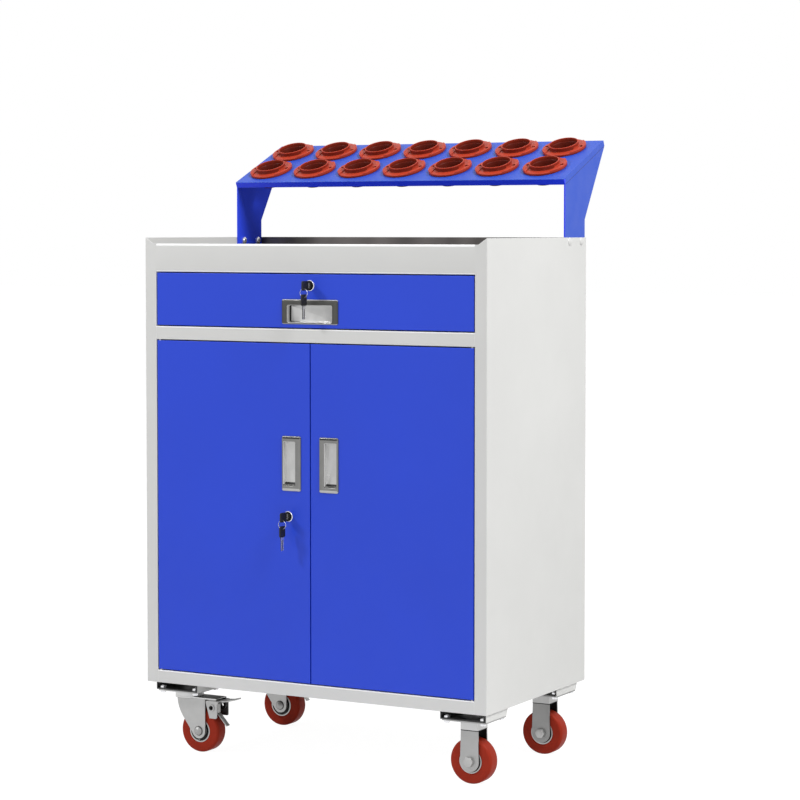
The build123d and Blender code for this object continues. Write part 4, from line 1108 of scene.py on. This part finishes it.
class CABINET_OT_grips(bpy.types.Operator):
    """Build the recessed grips of the drawer and the doors"""

    bl_idname = "cabinet.grips"
    bl_label = "Grips"

    def execute(self, context):
        out, right, up = Vector((0, -1, 0)), Vector((1, 0, 0)), Vector((0, 0, 1))
        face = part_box("left_door")[0].y
        flat = ((115 * mm, 44 * mm), (92 * mm, 30 * mm), "grip_dark", False)
        upright = ((98 * mm, 39 * mm), (78 * mm, 24.5 * mm), "grip_light", True)
        for body, along, across, kind in (
            ("drawer", right, up, flat),
            ("left_door", -up, right, upright),
            ("right_door", up, -right, upright),
        ):
            size, cup, look, stands = kind
            node = body + "_grip"
            place = Matrix((along, across, out)).transposed().to_4x4()
            place.translation = middle(node)
            place.translation.y = face
            mesh = grip_mesh(node + "_pressed", place, size, cup, stands)
            # The last three looks paint shade, a highlight on the bevels and light on the
            # recess walls.
            looks = [look, "recess", "seal", "edge_steel", "recess_wall"]
            piece(mesh, body, looks, [node])
        return {"FINISHED"}


def key_bow(hole_x):
    """Black key bow towards -Y from the origin, with a hole for the ring."""
    shoulder, long, width, thick = 5 * mm, 20 * mm, 17 * mm, 3.2 * mm
    edge, panel_edge, panel_depth = 6.3 * mm, 5 * mm, 0.35 * mm
    outline = rounded_box(width, long, 3 * mm, (0, -shoulder - long / 2), 6)
    bow = slab(outline, -thick / 2, thick / 2, 0.8 * mm)
    hole = (hole_x, edge - shoulder - long)
    tools = [slab(rounded_box(4.6 * mm, 4.6 * mm, 2.2 * mm, hole, 5), -thick, thick)]
    middle_y = -shoulder - 6 * mm
    panel = rounded_box(width - panel_edge, 9 * mm, 2 * mm, (0, middle_y), 4)
    for face in (-thick / 2, thick / 2):
        tools.append(slab(panel, face - panel_depth, face + panel_depth))
    return combine("key_bow", bow, tools, "DIFFERENCE")


def key_blade(blade_length):
    """Bright key blade along +Y from the origin, with its cuts and a groove a side."""
    shoulder, half, root, half_thick = 5 * mm, 3.8 * mm, 4.8 * mm, 1.0 * mm
    step, tip, pitch, half_cut = 0.6 * mm, 2 * mm, 3 * mm, 1.2 * mm
    outline = [(-root, -shoulder), (root, -shoulder), (root, 0), (half, step)]
    cut, depth = 4 * mm, 1.3 * mm
    while cut < blade_length - 2 * tip:
        outline += [(half, cut), (half - depth, cut + half_cut), (half, cut + 2 * half_cut)]
        cut += pitch
        depth = 1.9 * mm if depth < 1.5 * mm else 1.0 * mm
    outline += [(half, blade_length - tip), (1.2 * mm, blade_length)]
    outline += [(1 * mm - half, blade_length), (-half, blade_length - tip)]
    outline += [(-half, step), (-root, 0)]
    blade = slab([Vector(p) for p in outline], -half_thick, half_thick, 0.15 * mm)
    grooves = []
    for side in (-1, 1):
        centre = (side * 0.5 * mm, blade_length)
        groove = rounded_box(3.0 * mm, blade_length * 2, 0.3 * mm, centre)
        face, depth = side * half_thick, 0.4 * mm
        grooves.append(slab(groove, face - depth, face + depth))
    blade = combine("key_blade", blade, grooves, "DIFFERENCE")
    # Painted shade: the faces near the blade's middle, the grooves' floors and the cut edges,
    # take the dark look.
    for face in blade.faces:
        grooved = abs(face.calc_center_median().z) < 0.65 * half_thick
        face.material_index = 2 if grooved else 1
    return blade


def add_key(node, body, axes, seat, blade_length, hole_x):
    """Build a key with the foot of its blade at a place, in front of its CAD node."""
    place = Matrix(axes).to_4x4()
    place.translation = seat
    whole = joined((key_bow(hole_x), place), (key_blade(blade_length), place))
    looks = ["black_plastic", "bright_steel", "seal"]
    piece(to_mesh(whole, node + "_cut", 30.0), body, looks, [node])


class CABINET_OT_locks(bpy.types.Operator):
    """Finish the locks and build their keys and key rings"""

    bl_idname = "cabinet.locks"
    bl_label = "Locks and keys"

    def execute(self, context):
        turned_in, hung = ((0, 0, 1), (0, 1, 0), (-1, 0, 0)), ((0, 0, 1), (1, 0, 0), (0, -1, 0))
        reach, spare, hole = 13 * mm, 19 * mm, 4.2 * mm
        ring, wire, rise, turns = 7.5 * mm, 0.36 * mm, 0.68 * mm, 1.9
        for name in ("drawer", "door"):
            dress(name + "_lock_barrel", name + "_lock_barrel")
            dress("black_plastic", name + "_lock_plug")
            seat = middle(name + "_key")
            seat.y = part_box(name + "_key")[1].y - reach
            add_key(name + "_key", name + "_lock", turned_in, seat, reach, hole)
            seat = middle(name + "_spare_key")
            seat.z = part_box(name + "_spare_key")[0].z + spare
            add_key(name + "_spare_key", name + "_keys", hung, seat, spare, 0.0)
            centre = middle(name + "_key_ring")
            values = {
                "Finish": finish("bright_steel"),
                "Place": (centre.x, centre.y + rise / 2, centre.z),
                "Tilt": (pi / 2, 0, 0),
                "Ring radius": ring,
                "Wire radius": wire,
                "Turns": turns,
                "Rise": rise,
            }
            mesh = grown(name + "_split_ring", "Split ring", ring_tree, values, 60.0)
            piece(mesh, name + "_keys", replaces=[name + "_key_ring"])
        return {"FINISHED"}


def cup_places():
    """Middle of the first cup of each row on the rack's face, the pitch and the tilt."""
    sizes = bpy.context.scene.cabinet_cups
    mouth_middle = sizes.flange + sizes.collar - sizes.mouth_depth / 2
    mounts = {mount["name"]: mount for mount in frame["record"]["mounts"]}
    axis = Vector(mounts["rear_cup_1"]["axis"])
    front, beside, rear = (
        Vector(mounts[name]["pos_m"]) for name in ("front_cup_1", "front_cup_2", "rear_cup_1")
    )
    starts = [first - axis * mouth_middle for first in (front, rear)]
    return starts, beside - front, Euler((atan2(-axis.y, axis.z), 0, 0))


def cup_master(sizes):
    """One tool cup on the XY plane: flange, two screw ears, collar and tapered sleeve."""
    soft, ease, taper = 0.7 * mm, 0.05 * mm, 7 / 48
    top = sizes.flange + sizes.collar
    step = top - sizes.mouth_depth
    collar, mouth = sizes.collar_radius, sizes.mouth_radius
    end_radius = sizes.taper_radius - (step + sizes.sleeve) * taper
    outline = [
        (end_radius, -sizes.sleeve, 0.5 * mm),
        (sizes.sleeve_radius, -sizes.sleeve, 1.0 * mm),
        (sizes.sleeve_radius, 0, 0),
        (sizes.flange_radius, 0, soft),
        (sizes.flange_radius, sizes.flange_edge, soft),
        (collar + 1.6 * mm, sizes.flange - 1.2 * mm, 0.3 * mm),
        (collar + 0.1 * mm, sizes.flange - 1.0 * mm, 0.3 * mm),
        (collar, top - 2.2 * mm, 0),
        (collar, top, soft),
        (mouth, top, soft),
        (mouth, step, 0.6 * mm),
        (sizes.taper_radius, step, 0.5 * mm),
    ]
    base = lathe(rounded(outline, 3), 96)
    reach = sizes.flange_radius - ease
    span = atan2((reach**2 - sizes.ear_gap**2) ** 0.5, sizes.ear_gap)
    tools = []
    for side in (0, pi):
        angles = [side + span * (i / 20 - 1) for i in range(41)]
        arc = [Vector((cos(angle), sin(angle))) * reach for angle in angles]
        tools.append(slab(arc, 0.4 * mm, sizes.flange, 0.45 * mm))
    base = combine("cup", base, tools, "UNION")
    seat, radius = sizes.flange - sizes.screw_depth, sizes.screw_head + ease
    cuts = []
    for x in (-sizes.screw_circle, sizes.screw_circle):
        hole = rounded_box(2 * radius, 2 * radius, radius * 0.999, (x, 0), 6)
        cuts.append(slab(hole, seat, sizes.flange + 2 * mm))
    cup = combine("cup", base, cuts, "DIFFERENCE")
    # Painted shade kept per vertex: down the bore, on the collar's wall and under the flange's
    # rim.
    shade = cup.verts.layers.float.new(shade_layer)
    for vert in cup.verts:
        radius, height = vert.co.xy.length, vert.co.z
        wall = mouth if height > step - 0.1 * mm else sizes.taper_radius
        if radius < wall + ease and height < top - 0.2 * mm:
            vert[shade] = min(1.0, 0.35 + (top - height) / (12 * mm))
        elif abs(height - sizes.flange) < 0.3 * mm:
            vert[shade] = 0.0
        elif radius < collar + soft and 4 * mm < height < top - 0.9 * mm:
            vert[shade] = 0.75
        elif radius > sizes.flange_radius - 1.0 * mm and height < 1.2 * mm:
            vert[shade] = 0.6
    return cup


def cup_screw_master(sizes):
    """Sunk pan head with a cross slot, and its threaded tip under the rack."""
    radius, rim, dome = sizes.screw_head, 1.5 * mm, 2.4 * mm
    outline = [(0, 0, 0), (radius, 0, 0), (radius, rim, 0.9 * mm), (0, dome, 0)]
    head = lathe(rounded(outline), 28)
    long, wide, floor, over = 4.4 * mm, 1.0 * mm, 1.2 * mm, 4 * mm
    slots = [
        slab(rounded_box(*size, 0.2 * mm), floor, over) for size in ((wide, long), (long, wide))
    ]
    head = combine("screw_head", head, slots, "DIFFERENCE")
    crest, root, pitch, joint, tip = 2 * mm, 1.65 * mm, 0.7 * mm, 0.2 * mm, 13 * mm
    thread = [(0, joint), (crest, joint)]
    depth = 0.0
    while depth > 1 * mm - tip:
        thread += [(crest, depth), (root, depth - pitch / 2)]
        depth -= pitch
    thread += [(1.6 * mm, 0.4 * mm - tip), (0, -tip)]
    return joined(head, lathe(thread, 16))


class CABINET_OT_rack(bpy.types.Operator):
    """Finish the rack, and build its cups and screws"""

    bl_idname = "cabinet.rack"
    bl_label = "Rack and cups"

    def execute(self, context):
        dress("rack_blue", "rack_plate", "right_rack_arm")
        dress("arm_blue", "left_rack_arm")
        sizes = context.scene.cabinet_cups
        starts, pitch, tilt = cup_places()
        column = (7, pitch)
        for row, start in zip(("front", "rear"), starts):
            name, nodes = row + "_cup_row", [row + "_tool_cups"]
            cup = cup_master(sizes)
            add_copies(name, cup, "cup_red", "cup_red", nodes, start, tilt, column=column)
        seat = Vector((-sizes.screw_circle, 0, sizes.flange - sizes.screw_depth))
        seat.rotate(tilt)
        add_copies(
            "cup_row_screws",
            cup_screw_master(sizes),
            "seal",
            "key_black",
            ["cup_screws"],
            starts[0] + seat,
            tilt,
            column=column,
            row=(2, starts[1] - starts[0]),
            pair=(2, (2 * sizes.screw_circle, 0, 0)),
        )
        return {"FINISHED"}


def caster_bolt_master(sizes, low, high):
    """Hexagon bolt up through a caster plate, with its nut, from the plate's underside."""
    tip = high - low - sizes.bolt_head
    radius, soft, sunk = sizes.bolt_radius, 0.4 * mm, 0.1 * mm
    shank = [(0, -sunk), (radius, -sunk), (radius, tip - soft), (radius - soft, tip), (0, tip)]
    head = hex_head(sizes.bolt_flats, sizes.bolt_head)
    nut = hex_head(sizes.bolt_flats, sizes.bolt_nut)
    nut_place = Matrix.Translation((0, 0, tip - sizes.bolt_tail - sizes.bolt_nut))
    return joined((head, upside_down), lathe(shank, 20), (nut, nut_place))


def rack_bolt_masters(sizes):
    """Domed head from the wall outwards, and the shank with its nut behind it."""
    steps, radius, soft, sunk = 8, sizes.rack_bolt, 0.4 * mm, 0.1 * mm
    dome = [(0, -sunk), (sizes.dome_radius, -sunk)]
    for step in range(steps):
        angle = pi / 2 * step / steps
        dome.append((sizes.dome_radius * cos(angle), sizes.dome * sin(angle)))
    dome.append((0, sizes.dome))
    tip = -sizes.rack_grip - sizes.rack_nut - sizes.rack_tail
    shank = [(0, tip), (radius - soft, tip), (radius, tip + soft), (radius, 0), (0, 0)]
    nut = hex_head(sizes.rack_flats, sizes.rack_nut)
    nut_place = Matrix.Translation((0, 0, -sizes.rack_grip)) @ upside_down
    return lathe(dome, 32), joined(lathe(shank, 24), (nut, nut_place))


class CABINET_OT_fasteners(bpy.types.Operator):
    """Build the bolts and nuts of the casters and the rack"""

    bl_idname = "cabinet.fasteners"
    bl_label = "Bolts and nuts"

    def execute(self, context):
        sizes = context.scene.cabinet_fasteners
        low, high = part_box("caster_fasteners")
        lines = {
            "column": (2, (sizes.bolt_across, 0, 0)),
            "row": (2, (0, sizes.bolt_along, 0)),
        }
        for side, part, nodes in (
            ("left", "swivel_plate", ["caster_fasteners"]),
            ("right", "bracket", []),
        ):
            front, rear = (middle(f"{row}_{side}_{part}") for row in ("front", "rear"))
            start = front - Vector((sizes.bolt_across, sizes.bolt_along, 0)) / 2
            start.z = low.z + sizes.bolt_head
            bolt = caster_bolt_master(sizes, low.z, high.z)
            lines["pair"] = (2, (0, rear.y - front.y, 0))
            name = side + "_caster_bolts"
            add_copies(name, bolt, "bright_steel", "zinc", nodes, start, **lines)
        low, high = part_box("rack_fasteners")
        reach = sizes.rack_flats / 2 / cos(pi / 6)
        column = (2, (0, high.y - low.y - 2 * reach, 0))
        for label, side, nodes in (("left", -1, ["rack_fasteners"]), ("right", 1, [])):
            turn = (0, side * pi / 2, 0)
            start = (side * (high.x - sizes.dome), low.y + reach, (low.z + high.z) / 2)
            dome, nut = rack_bolt_masters(sizes)
            for name, master, look, stands_for in (
                (label + "_rack_bolt_heads", dome, "body_grey", nodes),
                (label + "_rack_nuts", nut, "bright_steel", []),
            ):
                add_copies(name, master, look, "zinc", stands_for, start, turn, column=column)
        return {"FINISHED"}


def tyre_mesh(name, place, sizes):
    """Tyre with rounded shoulders and a bead ring on each face."""
    half, bead = sizes.width / 2, 1.6 * mm
    inner = sizes.hub_radius + 0.02 * mm
    side = [
        (inner, 0.6 * mm, 0.3 * mm),
        (inner + bead, 0, 0.4 * mm),
        (sizes.radius, 0, sizes.shoulder),
    ]
    corners = [(r, h - half, c) for r, h, c in side]
    corners += [(r, half - h, c) for r, h, c in reversed(side)]
    bm = lathe(rounded(corners, 7), 112)
    bm.transform(place)
    return to_mesh(bm, name, 40.0)


def hub_mesh(name, place, sizes):
    """Hub: bright rim, dark bearing seal in a dish and a plain core on the axle."""
    half, core_half = sizes.width / 2, sizes.hub_width / 2
    rim, core = sizes.hub_radius, sizes.core_radius
    rim_in, dish = rim - 2.5 * mm, half - 5.5 * mm
    side = [
        (sizes.bore_radius, core_half, 0.3 * mm),
        (core, core_half, 0.8 * mm),
        (core, dish, 0.5 * mm),
        (rim_in, dish, 0.8 * mm),
        (rim_in, half, 0.5 * mm),
        (rim, half, 0.4 * mm),
    ]
    corners = [(r, -h, c) for r, h, c in side] + side[::-1]
    bm = lathe(rounded(corners, 3), 96)
    for face in bm.faces:
        radius = face.calc_center_median().xy.length
        if core + 0.2 * mm < radius < rim_in - 0.3 * mm:
            face.material_index = 1
    bm.transform(place)
    return to_mesh(bm, name, 40.0)


class CABINET_OT_casters(bpy.types.Operator):
    """Finish the casters' plates, forks and levers, and build the wheels and axles"""

    bl_idname = "cabinet.casters"
    bl_label = "Casters"

    def execute(self, context):
        sizes, bolts = context.scene.cabinet_wheels, context.scene.cabinet_fasteners
        for row in ("front", "rear"):
            for side in ("left", "right"):
                wheel = row + "_" + side
                place = Matrix.Rotation(pi / 2, 4, "X")
                place.translation = middle(wheel + "_tyre")
                mesh = tyre_mesh(wheel + "_tyre_moulded", place, sizes)
                piece(mesh, wheel + "_wheel", ["tyre_red"], [wheel + "_tyre"])
                mesh = hub_mesh(wheel + "_hub_turned", place, sizes)
                looks = ["edge_steel", "seal"]
                piece(mesh, wheel + "_wheel", looks, [wheel + "_hub"])
            for part in caster_finishes:
                dress(row + "_" + part, row + "_" + part)
        low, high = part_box("fixed_axles")
        first = middle("front_right_tyre")
        step = middle("rear_right_tyre") - first
        half, radius = (high.y - low.y - step.y) / 2 - bolts.axle_head, bolts.axle_radius
        up = Matrix.Translation((0, 0, half))
        ends = [
            (hex_head(bolts.axle_flats, bolts.axle_head), place)
            for place in (up, upside_down @ up)
        ]
        shank = lathe([(0, -half), (radius, -half), (radius, half), (0, half)], 32)
        axle, turn, column = joined(*ends, shank), (pi / 2, 0, 0), (2, step)
        nodes = ["fixed_axles"]
        add_copies("fixed_axle_bolts", axle, "zinc", "zinc", nodes, first, turn, column=column)
        return {"FINISHED"}


# Stage


def background_ray(tree):
    """1 for rays that show the background: from the camera, a mirror or through glass."""
    path = tree.nodes.new("ShaderNodeLightPath").outputs
    shown_to = path["Is Camera Ray"]
    for name in ("Is Glossy Ray", "Is Transmission Ray"):
        inputs = {0: shown_to, 1: path[name]}
        shown_to = add_node(tree, "ShaderNodeMath", inputs, operation="MAXIMUM")
    return shown_to


def floor_finish(base, share):
    """Pale floor that shows white and still takes the object's shadow."""
    made = Finish("pale_floor", base, 0.9, specular=0.0)
    glow = made.node("Emission", {"Strength": 1.25})
    part = made.math("MULTIPLY", background_ray(made.tree), share)
    blend = made.node("MixShader", {0: part, 1: made.shader.outputs[0], 2: glow})
    feed(made.tree.nodes["Material Output"], {"Surface": blend})
    return made.material


def add_lamp(name, place, size, power):
    """Square lamp that faces the middle of the cabinet."""
    lamp = bpy.data.lights.new(name, "AREA")
    lamp.shape = "SQUARE"
    lamp.size = size
    lamp.energy = power
    holder = shown(name, lamp)
    holder.location = place
    holder.rotation_euler = (aim - Vector(place)).to_track_quat("-Z", "Y").to_euler()


def studio_world(sky):
    """World that shows white and lights the object evenly by a strength."""
    world = bpy.data.worlds.new("studio")
    world.use_nodes = True
    tree = world.node_tree
    inputs = {"Value": background_ray(tree), "To Min": sky, "To Max": 1.0}
    strength = add_node(tree, "ShaderNodeMapRange", inputs)
    feed(tree.nodes["Background"], {"Color": (1, 1, 1, 1), "Strength": strength})
    return world


class CABINET_OT_stage(bpy.types.Operator):
    """Set the floor, the light and the camera"""

    bl_idname = "cabinet.stage"
    bl_label = "Stage"

    def execute(self, context):
        scene, stage = context.scene, context.scene.cabinet_stage
        mesh = bpy.data.meshes.new("floor")
        corners = [(-1, -1), (1, -1), (1, 1), (-1, 1)]
        points = [(x * half_floor, y * half_floor, 0) for x, y in corners]
        mesh.from_pydata(points, [], [(0, 1, 2, 3)])
        mesh.materials.append(floor_finish(tuple(stage.floor), stage.glow))
        shown("floor", mesh)
        scene.world = studio_world(stage.sky)
        for name, lamp in lamps.items():
            add_lamp(name, **lamp)
        lens = bpy.data.cameras.new("camera")
        lens.lens = stage.lens
        lens.sensor_width = 36.0
        lens.shift_y = stage.shift
        scene.camera = shown("camera", lens)
        scene.camera.location = stage.camera
        scene.camera.rotation_euler = (pi / 2 - stage.pitch, 0, stage.turn)
        scene.view_settings.view_transform = "Standard"
        return {"FINISHED"}


class CABINET_PT_pieces(bpy.types.Panel):
    """The cabinet's pieces and their settings"""

    bl_label = "Tool cabinet"
    bl_idname = "CABINET_PT_pieces"
    bl_space_type = "VIEW_3D"
    bl_region_type = "UI"
    bl_category = "Cabinet"

    def draw(self, context):
        for operator in operators:
            self.layout.operator(operator.bl_idname)
        for name, group in settings.items():
            box = self.layout.box()
            box.label(text=name.replace("cabinet_", "").capitalize())
            for field in group.__annotations__:
                box.prop(getattr(context.scene, name), field)


settings = {
    "cabinet_paint": CabinetPaint,
    "cabinet_metal": CabinetMetal,
    "cabinet_plastic": CabinetPlastic,
    "cabinet_cups": CabinetCups,
    "cabinet_wheels": CabinetWheels,
    "cabinet_fasteners": CabinetFasteners,
    "cabinet_stage": CabinetStage,
}

operators = (
    CABINET_OT_stage,
    CABINET_OT_carcass,
    CABINET_OT_fronts,
    CABINET_OT_grips,
    CABINET_OT_locks,
    CABINET_OT_rack,
    CABINET_OT_fasteners,
    CABINET_OT_casters,
)


def register():
    """Register the settings, the operators and the panel."""
    for name, group in settings.items():
        bpy.utils.register_class(group)
        setattr(bpy.types.Scene, name, PointerProperty(type=group))
    for item in (*operators, CABINET_PT_pieces):
        bpy.utils.register_class(item)


def unregister():
    """Remove what register adds."""
    for item in reversed((*operators, CABINET_PT_pieces)):
        bpy.utils.unregister_class(item)
    for name, group in settings.items():
        delattr(bpy.types.Scene, name)
        bpy.utils.unregister_class(group)


def main():
    """Register, then build every piece in order."""
    register()
    for operator in operators:
        area, action = operator.bl_idname.split(".")
        getattr(getattr(bpy.ops, area), action)()


if __name__ == "__main__":
    main()
